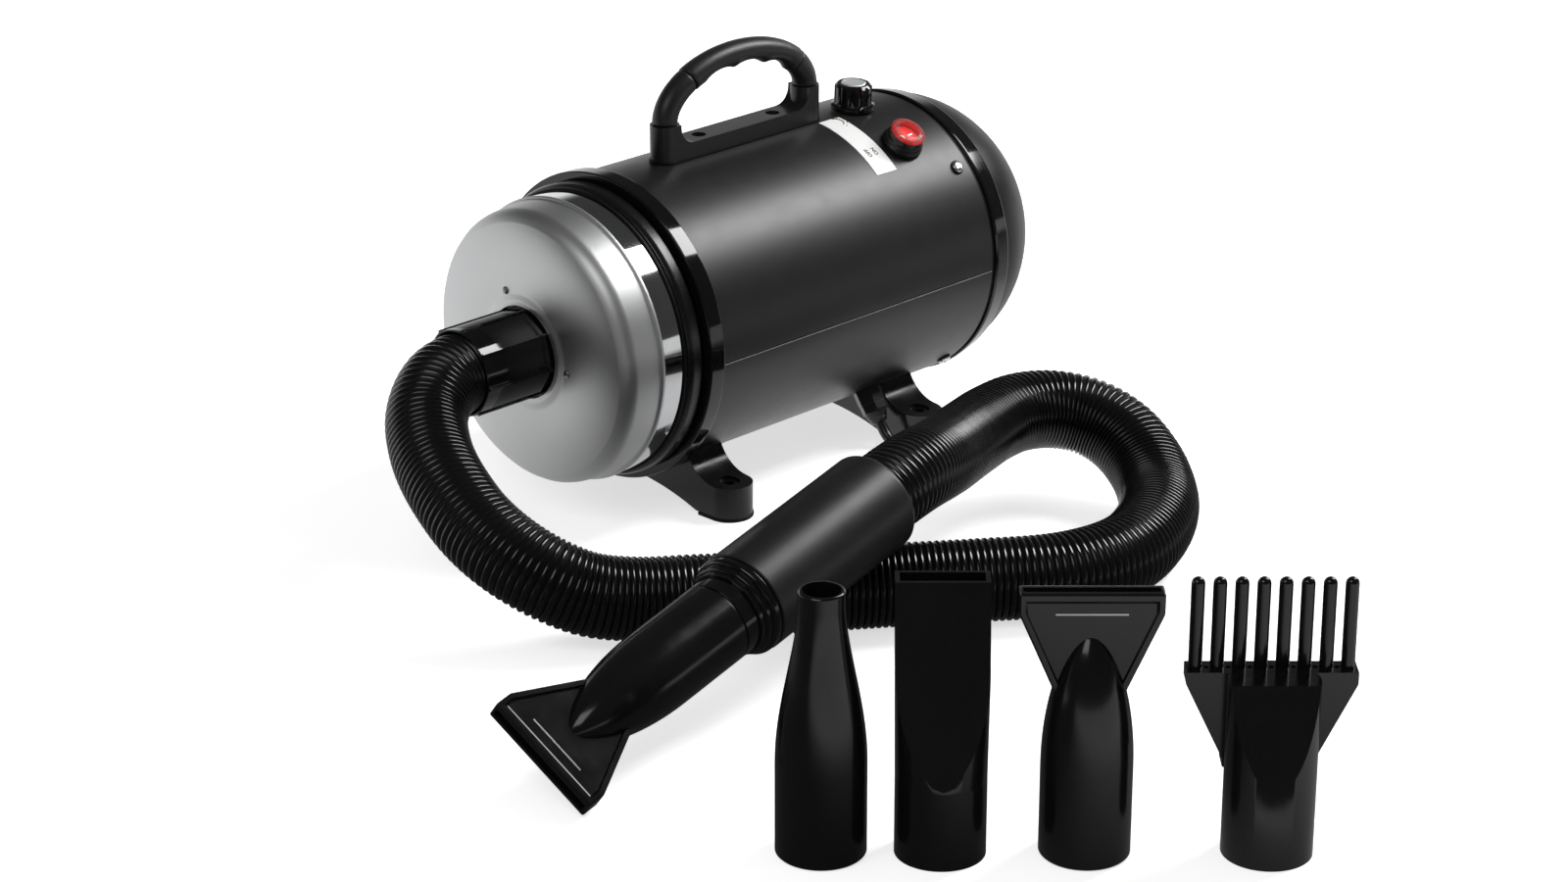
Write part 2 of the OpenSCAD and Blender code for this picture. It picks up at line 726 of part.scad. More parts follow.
module knob_cap() {
    color("#c9cacd") radial(knob_x, knob_angle)
        translate([0, 0, barrel_r + knob_lift + knob_h - 0.7]) difference() {
        union() {
            cylinder(r = knob_cap_r, h = 0.6);
            translate([0, 0, 0.6]) cylinder(r1 = knob_cap_r, r2 = knob_cap_r - 0.5, h = 0.5);
        }
        translate([2, -0.35, 0.7]) cube([knob_cap_r, 0.7, 2]);
    }
}

// The potentiometer's body and threaded bush stay still; its shaft turns with the knob.
module speed_potentiometer() {
    color("#55585a") radial(knob_x, knob_angle) difference() {
        union() {
            translate([0, 0, barrel_in - 10]) cylinder(r = pot_r, h = 9);
            translate([0, 0, barrel_in - 2]) cylinder(r = pot_shaft_r + 1, h = barrel_wall + 2 + nut_h,
                $fn = 32);
        }
        translate([0, 0, barrel_in - 8]) cylinder(r = pot_shaft_r + run, h = 40, $fn = 32);
    }
}

module knob_shaft() {
    radial(knob_x, knob_angle) translate([0, 0, barrel_in - 7.5])
        cylinder(r = pot_shaft_r, h = 7.5 + barrel_wall + knob_lift + knob_h - 5, $fn = 32);
}

module potentiometer_nut() {
    color("#a5a6a8") radial(knob_x, knob_angle) difference() {
        translate([0, 0, barrel_r - 1]) cylinder(r = 6.6, h = nut_h + 0.8, $fn = 6);
        cylinder(r = pot_shaft_r + 1, h = 200, $fn = 32);
        translate([0, 0, 0]) rotate([0, 90, 0]) cylinder(r = barrel_r, h = 60, center = true, $fn = 360);
    }
}

// Rubber boot in three steps round the rocker, seated on the barrel.
module switch_boot() {
    color("#0e0e0e") radial(rocker_x, rocker_angle) difference() {
        union() {
            translate([0, 0, barrel_r - 3]) cylinder(r = boot_r, h = 6);
            translate([0, 0, barrel_r]) cylinder(r = boot_r - 0.9, h = 6);
            translate([0, 0, barrel_r]) cylinder(r = boot_r - 1.9, h = boot_h - 1);
        }
        cylinder(r = switch_r, h = 200);
        rotate([0, 90, 0]) cylinder(r = barrel_r, h = 80, center = true, $fn = 360);
    }
}

// Clear dome over the rocker, held in the boot.
module switch_window() {
    foot = barrel_r + boot_h - 1;
    rise = 3.6;
    r = boot_r - 1.9;
    color("#e9dede", 0.35) radial(rocker_x, rocker_angle) rotate_extrude($fn = 64) polygon(concat(
        [[switch_r, foot - 3], [switch_r, foot], [r, foot]],
        [for (a = [0:15:90]) [r * cos(a), foot + 0.8 + rise * sin(a)]],
        [for (a = [90:-15:0]) [(switch_r - 0.7) * cos(a), foot - 0.2 + (rise + 0.2) * sin(a)]],
        [[switch_r - 0.7, foot - 3]]));
}

module power_rocker() {
    color("#d23a33") radial(rocker_x, rocker_angle)
        translate([0, 0, pivot_r]) rotate([0, -rocker_swing / 2, 0]) {
        difference() {
            translate([0, 0, -rocker_down]) cylinder(r = rocker_r, h = rocker_down + rocker_up);
            for (s = [-1, 1]) translate([0, 0, rocker_up + 0.001]) rotate([0, s * 5, 0])
                translate([s > 0 ? 0 : -20, -20, 0]) cube([20, 40, 10]);
        }
        rotate([90, 0, 0]) cylinder(r = 1, h = 2 * rocker_r + 1.4, center = true, $fn = 24);
    }
}

module switch_body() {
    depth = 24;
    color("#1c1c1c") radial(rocker_x, rocker_angle) {
        difference() {
            translate([0, 0, barrel_r - depth]) cylinder(r = switch_r, h = depth + 1.6);
            translate([0, 0, pivot_r - rocker_down - 2]) cylinder(r = rocker_r + rocker_room, h = 20);
            translate([0, 0, pivot_r]) rotate([90, 0, 0]) cylinder(r = 1 + run, h = 40, center = true,
                $fn = 24);
        }
        for (k = [-1:1]) translate([k * 5 - 0.4, -3, barrel_r - depth - 8]) cube([0.8, 6, 9]);
    }
}

// ---- feet ----

// Saddle outline across the barrel: it fits under the barrel and runs out to a pad each side.
module saddle_outline() {
    reach = foot_pitch_y / 2 + foot_r;
    difference() {
        translate([-reach, pad_t]) square([2 * reach, 60]);
        translate([0, axis_h]) circle(r = barrel_r, $fn = 96);
        translate([0, saddle_floor - arch_r]) circle(r = arch_r, $fn = 180);
        for (s = [-1, 1]) {
            translate([s * leg_y, foot_h + leg_r]) circle(r = leg_r, $fn = 96);
            translate([s > 0 ? leg_y : -leg_y - reach, foot_h]) square([reach, reach]);
        }
        translate([-reach, foot_h + leg_r - 6]) square([2 * reach, reach]);
    }
}

module foot_plan(x, r, h) {
    translate([x, 0, 0]) {
        for (s = [-1, 1]) translate([0, s * foot_pitch_y / 2, 0]) cylinder(r = r, h = h);
        translate([-r, -foot_pitch_y / 2, 0]) cube([2 * r, foot_pitch_y, h]);
    }
}

module foot_holes(x) {
    for (s = [-1, 1]) translate([x, s * foot_pitch_y / 2, -1]) cylinder(r = foot_hole_r, h = 60, $fn = 32);
}

module bracket(x) {
    difference() {
        intersection() {
            translate([x - bracket_w / 2, 0, 0]) rotate([90, 0, 90])
                linear_extrude(height = bracket_w) saddle_outline();
            foot_plan(x, foot_r, 80);
        }
        foot_holes(x);
        for (s = [-1, 1]) translate([x, s * foot_pitch_y / 2, foot_h - 1.2]) cylinder(r = 5.8, h = 30,
            $fn = 48);
        bracket_screw_places() cylinder(r = bracket_screw_r, h = barrel_r + 40, $fn = 24);
        bracket_screw_places() translate([0, 0, barrel_r + 4]) cylinder(r = 4.4, h = 40, $fn = 32);
    }
}

module front_bracket() {
    color("#1b1b1c") bracket(-foot_pitch_x / 2);
}

module rear_bracket() {
    color("#1b1b1c") bracket(foot_pitch_x / 2);
}

// The rubber under each foot, a little wider than it.
module foot_pads(x) {
    color("#101010") difference() {
        for (s = [-1, 1]) translate([x, s * foot_pitch_y / 2, 0]) intersection() {
            union() {
                cylinder(r = foot_r + 0.5, h = pad_t);
                translate([-foot_r - 0.5, s > 0 ? -12 : 0, 0]) cube([2 * foot_r + 1, 12, pad_t]);
            }
        }
        foot_holes(x);
    }
}

module front_foot_pads() {
    foot_pads(-foot_pitch_x / 2);
}

module rear_foot_pads() {
    foot_pads(foot_pitch_x / 2);
}

module bracket_screw_places() {
    for (x = [-foot_pitch_x / 2, foot_pitch_x / 2], s = [-1, 1])
        radial(x, -90 + s * bracket_screw_angle) children();
}

module bracket_screws() {
    color("#77787a") bracket_screw_places() {
        translate([0, 0, barrel_in - 4]) cylinder(r = bracket_screw_r, h = 8 + barrel_wall, $fn = 24);
        translate([0, 0, barrel_r + 4]) cylinder(r = 4, h = 2.4, $fn = 32);
    }
}

// ---- gland and mains lead ----

module cable_gland() {
    color("#2a2a2b") radial(gland_x, gland_angle) difference() {
        union() {
            translate([0, 0, barrel_r - 2]) cylinder(r = gland_hex, h = gland_hex_h + 2, $fn = 6);
            translate([0, 0, barrel_in - 8]) cylinder(r = gland_r, h = 12);
        }
        difference() {
            rotate([0, 90, 0]) cylinder(r = barrel_r, h = 60, center = true, $fn = 360);
            cylinder(r = gland_r, h = 200);
        }
        cylinder(r = lead_d / 2 + 0.4, h = 200, $fn = 32);
    }
}

module gland_cap() {
    color("#1f1f20") radial(gland_x, gland_angle) translate([0, 0, barrel_r + gland_hex_h]) difference() {
        union() {
            cylinder(r = gland_cap_r + 0.6, h = 5, $fn = 6);
            translate([0, 0, 5]) cylinder(r1 = gland_cap_r - 0.8, r2 = gland_cap_r - 1.4, h = 3);
            translate([0, 0, 8]) cylinder(r1 = gland_cap_r - 1.4, r2 = lead_d / 2 + 1.4,
                h = gland_cap_h - 8);
        }
        translate([0, 0, -1]) cylinder(r = lead_d / 2 + 0.4, h = gland_cap_h - 1, $fn = 32);
    }
}

module gland_locknut() {
    color("#2a2a2b") radial(gland_x, gland_angle) difference() {
        translate([0, 0, barrel_in - 6]) cylinder(r = 9, h = 5.6, $fn = 6);
        cylinder(r = gland_r, h = 200);
    }
}

module mains_lead() {
    n = 8;
    color("#111111") skin([for (i = [0:len(lead_points) - 1])
        ring_at(lead_points[i], tangent(lead_points, i), lead_d / 2, n)]);
}

// Coil: the lead spirals in on the floor, climbs where the spiral turns back, and spirals out on top.
function coil_radius(t) = coil_r - coil_pitch * (t < coil_turns ? t : 2 * coil_turns - t);
function coil_height(t) = coil_z + (lead_d + coil_gap) * min(1, max(0, 2 * (t - coil_turns + 0.25)));
function coil_point(t) = [coil_at[0] + coil_radius(t) * cos(360 * t),
    coil_at[1] + coil_radius(t) * sin(360 * t),
    coil_height(t)];
coil_steps = [for (i = [0:floor(coil_end * coil_rings)]) coil_point(i / coil_rings)];
coil_out = [-1, 0, 0];
coil_tail = coil_steps[len(coil_steps) - 1] + coil_out * lead_d;
coil_path = concat([[coil_steps[0][0], coil_steps[0][1] - lead_d, coil_steps[0][2]]], coil_steps,
    [coil_tail]);

// Least distance between the middles of turns that are at least half a turn apart, less the diameter.
coil_least_gap = min([for (i = [0:2:len(coil_steps) - 1], j = [i + coil_rings / 2:1:len(coil_steps) - 1])
    norm(coil_steps[i] - coil_steps[j])]) - lead_d;
echo(coil_least_gap = coil_least_gap);

module lead_coil() {
    n = 6;
    m = len(coil_path);
    color("#111111") skin([for (i = [0:m - 1]) ring_at(coil_path[i],
        i == 0 ? [0, 1, 0] : i == m - 1 ? coil_out : tangent(coil_path, i), lead_d / 2, n)]);
}

// A flat tie round the turns of the coil.
module coil_tie() {
    inner = coil_r - coil_pitch * coil_turns - lead_d / 2 - 1.2;
    wide = coil_pitch * coil_turns + lead_d + 2.4;
    tall = 2 * lead_d + coil_gap + 1;
    t = 0.7;
    color("#1d1d1d") translate([coil_at[0], coil_at[1], 0]) rotate(215) translate([inner, -5,
        coil_z - lead_d / 2 - 0.3])
        difference() {
            translate([-t, 0, -t]) cube([wide + 2 * t, 10, tall + 2 * t]);
            translate([0, -1, 0]) cube([wide, 12, tall]);
        }
}

module mains_plug() {
    color("#131313") translate(coil_tail) rotate([0, 0, 180]) {
        difference() {
            union() {
                rotate([0, 90, 0]) cylinder(r1 = lead_d / 2 + 0.8, r2 = lead_d / 2 + 2.6, h = plug_relief,
                    $fn = 32);
                translate([plug_relief - eps, -plug_w / 2, -plug_t / 2]) cube([plug_l, plug_w, plug_t]);
            }
            for (s = [-1, 1]) translate([plug_relief + plug_l / 2,
                s * (plug_w / 2 + 22), -20]) cylinder(r = 24, h = 40, $fn = 96);
        }
        for (s = [-1, 1]) translate([plug_relief + plug_l - 1, s * 6.35 - 0.75, -3.2]) cube([17, 1.5, 6.4]);
    }
}

// ---- air hose ----

hose_sums = chord_sums(hose_points);
hose_total = hose_sums[len(hose_sums) - 1];
echo(hose_length = hose_total);

// Crest and valley in turn along the hose; both ends finish on a valley inside a bore.
hose_valley = hose_r - 1.5;
function hose_ring(s, r) =
    let (e = 0.5, a = max(0, s - e), b = min(hose_total, s + e))
    ring_at(along(hose_points, hose_sums, s),
        unit(along(hose_points, hose_sums, b) - along(hose_points, hose_sums, a)), r, rib_round);

module air_hose() {
    pitch = hose_total / hose_ribs;
    n = rib_round;
    outer = [for (i = [0:2 * hose_ribs]) hose_ring(min(hose_total, pitch * i / 2),
        i % 2 == 0 ? hose_valley : hose_r)];
    bore_steps = 56;
    inner = [for (i = [0:bore_steps]) hose_ring(hose_total * i / bore_steps, hose_bore_r)];
    m = len(outer);
    b = m * n;
    q = len(inner);
    last = (m - 1) * n;
    far = b + (q - 1) * n;
    color("#1a1a1a") polyhedron(
        points = concat([for (r = outer) each r], [for (r = inner) each r]),
        faces = concat(
            wall_faces(m, n),
            turn_over(wall_faces(q, n, b)),
            [for (k = [0:n - 1]) each let (k1 = (k + 1) % n) [[k, k1, b + k1], [k, b + k1, b + k]]],
            [for (k = [0:n - 1]) each let (k1 = (k + 1) % n)
                [[last + k, far + k1, last + k1], [last + k, far + k, far + k1]]]),
        convexity = 10);
}

// ---- wand ----

// Children lie along the wand: z = 0 at its rear end, +Z towards the nozzle.
module on_wand() {
    translate(wand_at) rotate([0, 0, wand_yaw]) rotate([0, wand_dip, 0]) rotate([0, 90, 0]) children();
}

module wand_grip() {
    f = 4;
    shoulder = hose_in_wand;
    color("#3d3e40") on_wand() rotate_extrude($fn = 96) polygon(concat(
        [[wand_bore, 0]],
        [for (a = [0:15:90]) [wand_r - f + f * sin(a), f - f * cos(a)]],
        [[wand_r, wand_len - 1], [wand_r - 1, wand_len], [hose_bore_r, wand_len], [hose_bore_r, shoulder],
         [wand_bore, shoulder]]));
}

// Stepped ring at the front of the grip.
module wand_ring() {
    color("#19191a") on_wand() translate([0, 0, wand_len]) rotate_extrude($fn = 96) polygon([
        [spigot_r - 2, 0], [wand_r - 1.6, 0], [wand_r - 1.6, 1], [wand_r - 0.4, 1.6], [wand_r - 0.4, 4.4],
        [wand_r - 1.4, 5.2], [wand_r - 2.6, 5.2], [wand_r - 2.6, 8], [wand_r - 3.4, 8.8],
        [wand_r - 4.4, 8.8],
        [wand_r - 4.4, step_w], [spigot_r - 2, step_w]]);
}

module wand_spigot() {
    z0 = wand_len + step_w;
    color("#19191a") on_wand() translate([0, 0, z0]) difference() {
        union() {
            cylinder(r = socket_r, h = neck_w);
            cylinder(r = spigot_r, h = neck_w + spigot_len);
        }
        translate([0, 0, -1]) cylinder(r = spigot_r - 2, h = 60);
    }
}

module fan_nozzle() {
    color("#141414") on_wand() translate([0, 0, nozzle_in]) rotate(wand_roll) fan_form();
}

// ---- nozzles, each standing on its socket ----

// A socket that fits over the wand's spigot, closed by the form above it.
module socket_bore() {
    translate([0, 0, -1]) cylinder(r = spigot_r + push_fit, h = spigot_len + 3);
}

function bullet(r, lift) = [for (a = [0:9:90]) [r * pow(cos(a), 1.2),
    socket_h + (bullet_h - lift) * sin(a)]];

module fan_plate(w, t, low, top) {
    half = fan_w / 2 - w;
    neck = socket_r * 0.76 - w;
    translate([0, t / 2, 0]) rotate([90, 0, 0]) linear_extrude(height = t) polygon([[-neck, low],
        [-neck, fan_neck],
        [-half, fan_lip], [-half, top], [half, top], [half, fan_lip], [neck, fan_neck], [neck, low]]);
}

module fan_form() {
    difference() {
        union() {
            rotate_extrude() polygon(concat([[0, 0], [socket_r - 1, 0], [socket_r, 1]],
                bullet(socket_r, 0)));
            fan_plate(0, fan_t, socket_h, nozzle_h);
            fan_plate(-0.01, fan_t + 3, fan_lip + 2, nozzle_h - 0.01);
            translate([-fan_w / 4, -fan_t / 2 - 1.5, nozzle_h - 5]) cube([fan_w / 2, 1, 1]);
        }
        socket_bore();
        rotate_extrude() polygon(concat([[0, spigot_len], [socket_r - nozzle_wall, spigot_len]],
            bullet(socket_r - nozzle_wall, 8)));
        fan_plate(nozzle_wall, slot_t, spigot_len + 20, nozzle_h + 1);
    }
}

module round_form() {
    tip_r = 10.9;
    drop = nozzle_h - 8 - socket_h;
    outside = [for (u = [0:0.125:1]) [tip_r + (socket_r - tip_r) * pow(cos(90 * u), 1.6),
        socket_h + drop * u]];
    n = len(outside) - 1;
    rotate_extrude() polygon(concat(
        [[spigot_r + push_fit, 0], [socket_r - 1, 0], [socket_r, 1]], outside,
        [[tip_r, nozzle_h - 1], [tip_r - 0.8, nozzle_h], [tip_r - nozzle_wall, nozzle_h]],
        [for (k = [n:-1:0]) [outside[k][0] - nozzle_wall, outside[k][1]]],
        [[socket_r - nozzle_wall, spigot_len + 2], [spigot_r + push_fit, spigot_len + 2]]));
}

// The half-space in front of the slanting face, moved back by w.
module slant_cut(w, back) {
    rise = nozzle_h - cut_low;
    run_y = socket_r + back;
    translate([0, -socket_r - w - 0.4, cut_low]) rotate([-atan(run_y / rise), 0, 0])
        translate([-100, -200, -150]) cube([200, 200, 400]);
}

module slant_hull(r, w, t) {
    cylinder(r = r, h = cut_low);
    hull() {
        translate([0, 0, cut_low]) cylinder(r = r, h = 0.1, $fn = 32);
        translate([-w / 2, -t / 2, nozzle_h - 0.1]) cube([w, r + t / 2, 0.1]);
    }
}

module slant_form() {
    back = socket_r - flat_t;
    difference() {
        union() {
            cylinder(r = socket_r, h = cut_low);
            difference() {
                slant_hull(socket_r, 2 * socket_r + 0.8, 20);
                slant_cut(0, back);
            }
        }
        socket_bore();
        difference() {
            translate([0, 0, spigot_len]) intersection() {
                translate([0, 0, -spigot_len]) slant_hull(socket_r - nozzle_wall,
                    2 * (socket_r - nozzle_wall), 20);
                translate([-50, -50, 0]) cube([100, 100, nozzle_h]);
            }
            slant_cut(-nozzle_wall, back);
        }
        translate([0, 0, nozzle_h - 1]) difference() {
            translate([-socket_r + nozzle_wall, -20, 0]) cube([2 * (socket_r - nozzle_wall),
                20 + socket_r - nozzle_wall, 5]);
            translate([0, 0, 1 - nozzle_h]) slant_cut(-nozzle_wall, back);
        }
    }
}

module comb_plate(w, t, low, top) {
    half = comb_w / 2 - w;
    neck = socket_r - w;
    translate([0, socket_r - comb_step - w, 0]) rotate([90, 0, 0]) linear_extrude(height = t) polygon([
        [-neck, low], [-neck, comb_neck],
        [-half, comb_top - 6], [-half, top], [half, top], [half, comb_top - 6], [neck, comb_neck],
        [neck, low]]);
}

// A tine with a rounded end, rooted in the comb's plate.
module tine() {
    rotate_extrude($fn = 24) polygon(concat([[0, comb_top - 4], [tine_r, comb_top - 4]],
        [for (a = [0:15:75]) [tine_r * cos(a), nozzle_h + tine_r * (sin(a) - sin(75))]], [[0, nozzle_h]]));
}

module comb_form() {
    back = socket_r - flat_t;
    first = tine_r + tine_inset - comb_w / 2;
    pitch = -2 * first / (tines - 1);
    mid_y = socket_r - comb_step - flat_t / 2;
    difference() {
        union() {
            cylinder(r = socket_r, h = cut_low);
            difference() {
                union() {
                    cylinder(r = socket_r, h = comb_top);
                    comb_plate(0, flat_t, cut_low, comb_top);
                }
                slant_cut(0, back);
            }
            for (k = [0:tines - 1]) translate([first + pitch * k, mid_y, 0]) tine();
        }
        socket_bore();
        difference() {
            union() {
                translate([0, 0, spigot_len]) cylinder(r = socket_r - nozzle_wall,
                    h = comb_top - spigot_len - 4);
                comb_plate(nozzle_wall, flat_t - 2 * nozzle_wall, cut_low + 4, comb_top - nozzle_wall);
            }
            slant_cut(-nozzle_wall, back);
        }
        for (k = [0:tines - 2]) translate([first + pitch * (k + 0.5), mid_y, comb_top - 4])
            cylinder(r = 1.4, h = 10, $fn = 20);
    }
}

// Places in the row, each a gap beyond the widths of its neighbours.
row_widths = [2 * socket_r, 2 * socket_r + 0.8, fan_w, comb_w];
function row_place(i) = i == 0 ? 0 : row_place(i - 1) + (row_widths[i - 1] + row_widths[i]) / 2 + row_gap;

module in_row(i) {
    translate([row_at[0], row_at[1], 0]) rotate(row_angle) translate([row_place(i), 0, 0]) children();
}

module round_nozzle() {
    color("#141414") in_row(0) round_form();
}

module slant_nozzle() {
    color("#141414") in_row(1) slant_form();
}

module spare_fan_nozzle() {
    color("#141414") in_row(2) fan_form();
}

module comb_nozzle() {
    color("#141414") in_row(3) comb_form();
}

// ---- inside the barrel ----

module bulkhead() {
    color("#8a8c8e") turned([[eye_r + 8, bulkhead_x], [barrel_in, bulkhead_x],
        [barrel_in, bulkhead_x + bulkhead_t + 5],
        [barrel_in - 1.5, bulkhead_x + bulkhead_t + 5], [barrel_in - 1.5, bulkhead_x + bulkhead_t],
        [eye_r + 8, bulkhead_x + bulkhead_t]]);
}

module fan_shroud() {
    w = shroud_wall;
    color("#9fa1a3") turned([[eye_r, bulkhead_x], [shroud_r, bulkhead_x], [shroud_r, shroud_x0],
        [motor_r, shroud_x0],
        [motor_r, shroud_x0 + w], [shroud_r - w, shroud_x0 + w], [shroud_r - w, bulkhead_x - w],
        [eye_r, bulkhead_x - w]]);
}

// The motor's case, with a bearing seat in each end, held in the barrel by a ring on four arms.
module motor_frame() {
    w = 2.5;
    x0 = motor_x0;
    x1 = shroud_x0;
    color("#4b4d50") difference() {
        union() {
            turned([[shaft_r + 2, x0], [motor_r, x0], [motor_r, x1 + shroud_wall + w],
                [bearing_r, x1 + shroud_wall + w],
                [bearing_r, x1 + shroud_wall + w - bearing_w - 2],
                [bearing_r + 2.5, x1 + shroud_wall + w - bearing_w - 2],
                [bearing_r + 2.5, x1 + shroud_wall], [motor_r - w, x1 + shroud_wall - eps],
                [motor_r - w, x0 + w],
                [bearing_r + 2.5, x0 + w], [bearing_r + 2.5, x0 + w + bearing_w],
                [bearing_r, x0 + w + bearing_w],
                [bearing_r, x0 + w], [shaft_r + 2, x0 + w]]);
            for (k = [0:3]) translate([x0, 0, axis_h]) rotate([45 + 90 * k, 0, 0])
                translate([0, motor_r - 1, -6]) cube([cradle_t, barrel_in - motor_r + 0.4, 12]);
        }
        difference() {
            translate([x0 - 1, 0, axis_h]) rotate([0, 90, 0]) cylinder(r = 120, h = cradle_t + 2, $fn = 96);
            translate([x0 - 2, 0, axis_h]) rotate([0, 90, 0]) cylinder(r = barrel_in, h = cradle_t + 4,
                $fn = 96);
        }
    }
}

module motor_stator() {
    x0 = motor_x0 + (motor_l - stator_l) / 2;
    color("#6f7275") turned([[motor_r - 20, x0], [motor_r - 2.5, x0], [motor_r - 2.5, x0 + stator_l],
        [motor_r - 20, x0 + stator_l]]);
}

function bearing_places() = [motor_x0 + 2.5, shroud_x0 + shroud_wall + 2.5 - bearing_w];

module motor_bearings() {
    color("#c7c9cc") for (x = bearing_places())
        turned([[shaft_r + run, x], [bearing_r, x], [bearing_r, x + bearing_w],
        [shaft_r + run, x + bearing_w]]);
}

// Shaft, armature, commutator and fan turn as one.
module motor_rotor() {
    x0 = motor_x0 + (motor_l - stator_l) / 2;
    fan_x0 = bulkhead_x - shroud_wall - 4 - fan_l;
    blades = 8;
    color("#a9865a") {
        turned([[0, motor_x0 - 1], [shaft_r, motor_x0 - 1], [shaft_r, x0 - 10], [12, x0 - 10], [12, x0 - 3],
            [shaft_r, x0 - 3], [shaft_r, x0], [motor_r - 20 - air_gap, x0],
            [motor_r - 20 - air_gap, x0 + stator_l],
            [shaft_r, x0 + stator_l], [shaft_r, fan_x0], [fan_r, fan_x0], [fan_r, fan_x0 + 1.6],
            [12, fan_x0 + 1.6], [10, fan_x0 + fan_l], [0, fan_x0 + fan_l]]);
        for (k = [0:blades - 1]) translate([fan_x0 + 1, 0, axis_h]) rotate([360 / blades * k, 0, 0])
            translate([0, 9, -0.8]) rotate([-18, 0, 0]) cube([fan_l - 3, fan_r - 13, 1.6]);
    }
}

// Finned heating block in the bowl's throat, in a frame that reaches the front rings.
module heater() {
    fins = 9;
    half = heater_side / 2;
    color("#b5a48a") difference() {
        union() {
            turned([[throat_r - 4, heater_x0], [throat_r, heater_x0], [throat_r, heater_x0 + 3],
                [throat_r - 4, heater_x0 + 3]]);
            translate([heater_x0, 0, axis_h]) {
                for (s = [-1, 1]) {
                    translate([0, s > 0 ? half - 3 : -half, -half]) cube([heater_t, 3, heater_side]);
                    translate([0, -half, s > 0 ? half - 3 : -half]) cube([heater_t, heater_side, 3]);
                    translate([0, -3, s > 0 ? half - 1 : -throat_r + 3]) cube([3, 6, throat_r - half - 2]);
                }
                for (k = [1:fins]) translate([2, -half + heater_side * k / (fins + 1) - 0.8, -half + 1])
                    cube([heater_t - 4, 1.6, heater_side - 2]);
            }
        }
    }
}

barrel();
front_band();
front_seal();
front_ring();
bowl_gasket();
bowl_band();
front_bowl();
outlet_collar();
collar_rivets();
rear_gasket();
rear_ring();
rear_dome();
intake_grille();
grille_screws();
intake_filter();
casing_screws();
screw_washers();
handle_base();
handle_gasket();
handle_front_sleeve();
handle_grip();
handle_rear_sleeve();
handle_screws();
dial_strip();
union() {
    speed_knob();
    knob_shaft();
}
knob_cap();
speed_potentiometer();
potentiometer_nut();
switch_boot();
switch_window();
power_rocker();
switch_body();
front_bracket();
rear_bracket();
front_foot_pads();
rear_foot_pads();
bracket_screws();
cable_gland();
gland_cap();
gland_locknut();
mains_lead();
lead_coil();
coil_tie();
mains_plug();
air_hose();
wand_grip();
wand_ring();
wand_spigot();
fan_nozzle();
round_nozzle();
slant_nozzle();
spare_fan_nozzle();
comb_nozzle();
bulkhead();
fan_shroud();
motor_frame();
motor_stator();
motor_bearings();
motor_rotor();
heater();
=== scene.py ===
import re
from math import acos, asin, atan2, cos, hypot, pi, radians, sin

import bmesh
import bpy
from mathutils import Matrix, Vector
from mathutils.bvhtree import BVHTree


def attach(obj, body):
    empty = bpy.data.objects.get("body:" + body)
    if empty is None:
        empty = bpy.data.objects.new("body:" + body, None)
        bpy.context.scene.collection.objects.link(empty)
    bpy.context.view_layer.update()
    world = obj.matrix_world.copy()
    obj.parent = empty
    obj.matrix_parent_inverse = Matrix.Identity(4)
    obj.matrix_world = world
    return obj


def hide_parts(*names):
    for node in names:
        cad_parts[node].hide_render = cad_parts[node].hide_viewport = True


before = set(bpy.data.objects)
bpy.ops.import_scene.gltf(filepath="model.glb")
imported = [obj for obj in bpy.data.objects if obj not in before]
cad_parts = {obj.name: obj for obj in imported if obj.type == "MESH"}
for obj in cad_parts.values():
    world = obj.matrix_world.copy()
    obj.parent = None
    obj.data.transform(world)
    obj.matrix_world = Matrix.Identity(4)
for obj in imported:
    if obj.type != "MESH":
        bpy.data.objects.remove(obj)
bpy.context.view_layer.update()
mm = 0.001
ops = bmesh.ops
scene = bpy.context.scene
axisHeight = 102  # barrel axis above the floor, in mm like every length below


# view

shot = {"lens": 87.88, "place": (-1.4720, -1.4805, 0.8315), "tilt": 68.33, "turn": -45.55}


def setCamera():
    data = bpy.data.cameras.new("shotCamera")
    data.lens = shot["lens"]
    data.sensor_width = 36
    data.clip_start = 0.01
    camera = addObject("shotCamera", data)
    camera.location = shot["place"]
    camera.rotation_euler = (radians(shot["tilt"]), 0, radians(shot["turn"]))
    scene.camera = camera
    scene.view_settings.view_transform = "Standard"


# places

def spun(angle, axis):
    return Matrix.Rotation(radians(angle), 4, axis)


def raised(height):
    return Matrix.Translation((0, 0, height))


def axisPlace(spin=0):
    # local z runs along the barrel, and the angle about it counts from +Y towards +Z
    lay = Matrix(((0, 0, 1, 0), (1, 0, 0, 0), (0, 1, 0, axisHeight), (0, 0, 0, 1)))
    return lay @ spun(spin, "Z")


def radialPlace(along, angle):
    # local z points out of the barrel at this angle, from the barrel's axis
    return Matrix.Translation((along, 0, axisHeight)) @ spun(angle - 90, "X")


wandRest = {"rear": (-138.5, -237.8, 74.5), "yaw": 185.6, "dip": 10.7}


def wandPlace(along=0, roll=0):
    place = Matrix.Translation(wandRest["rear"]) @ spun(wandRest["yaw"], "Z") @ spun(wandRest["dip"], "Y")
    return place @ spun(90, "Y") @ raised(along) @ spun(roll, "Z")


# finishes

def link(source, socket):
    socket.id_data.links.new(source, socket)


def addNode(tree, kind, **values):
    # each value is another node's output, a number or colour for an input, or a setting
    node = tree.nodes.new(kind)
    for key, value in values.items():
        if isinstance(value, bpy.types.NodeSocket):
            link(value, node.inputs[key])
        elif key in node.inputs:
            node.inputs[key].default_value = value
        else:
            setattr(node, key, value)
    return node


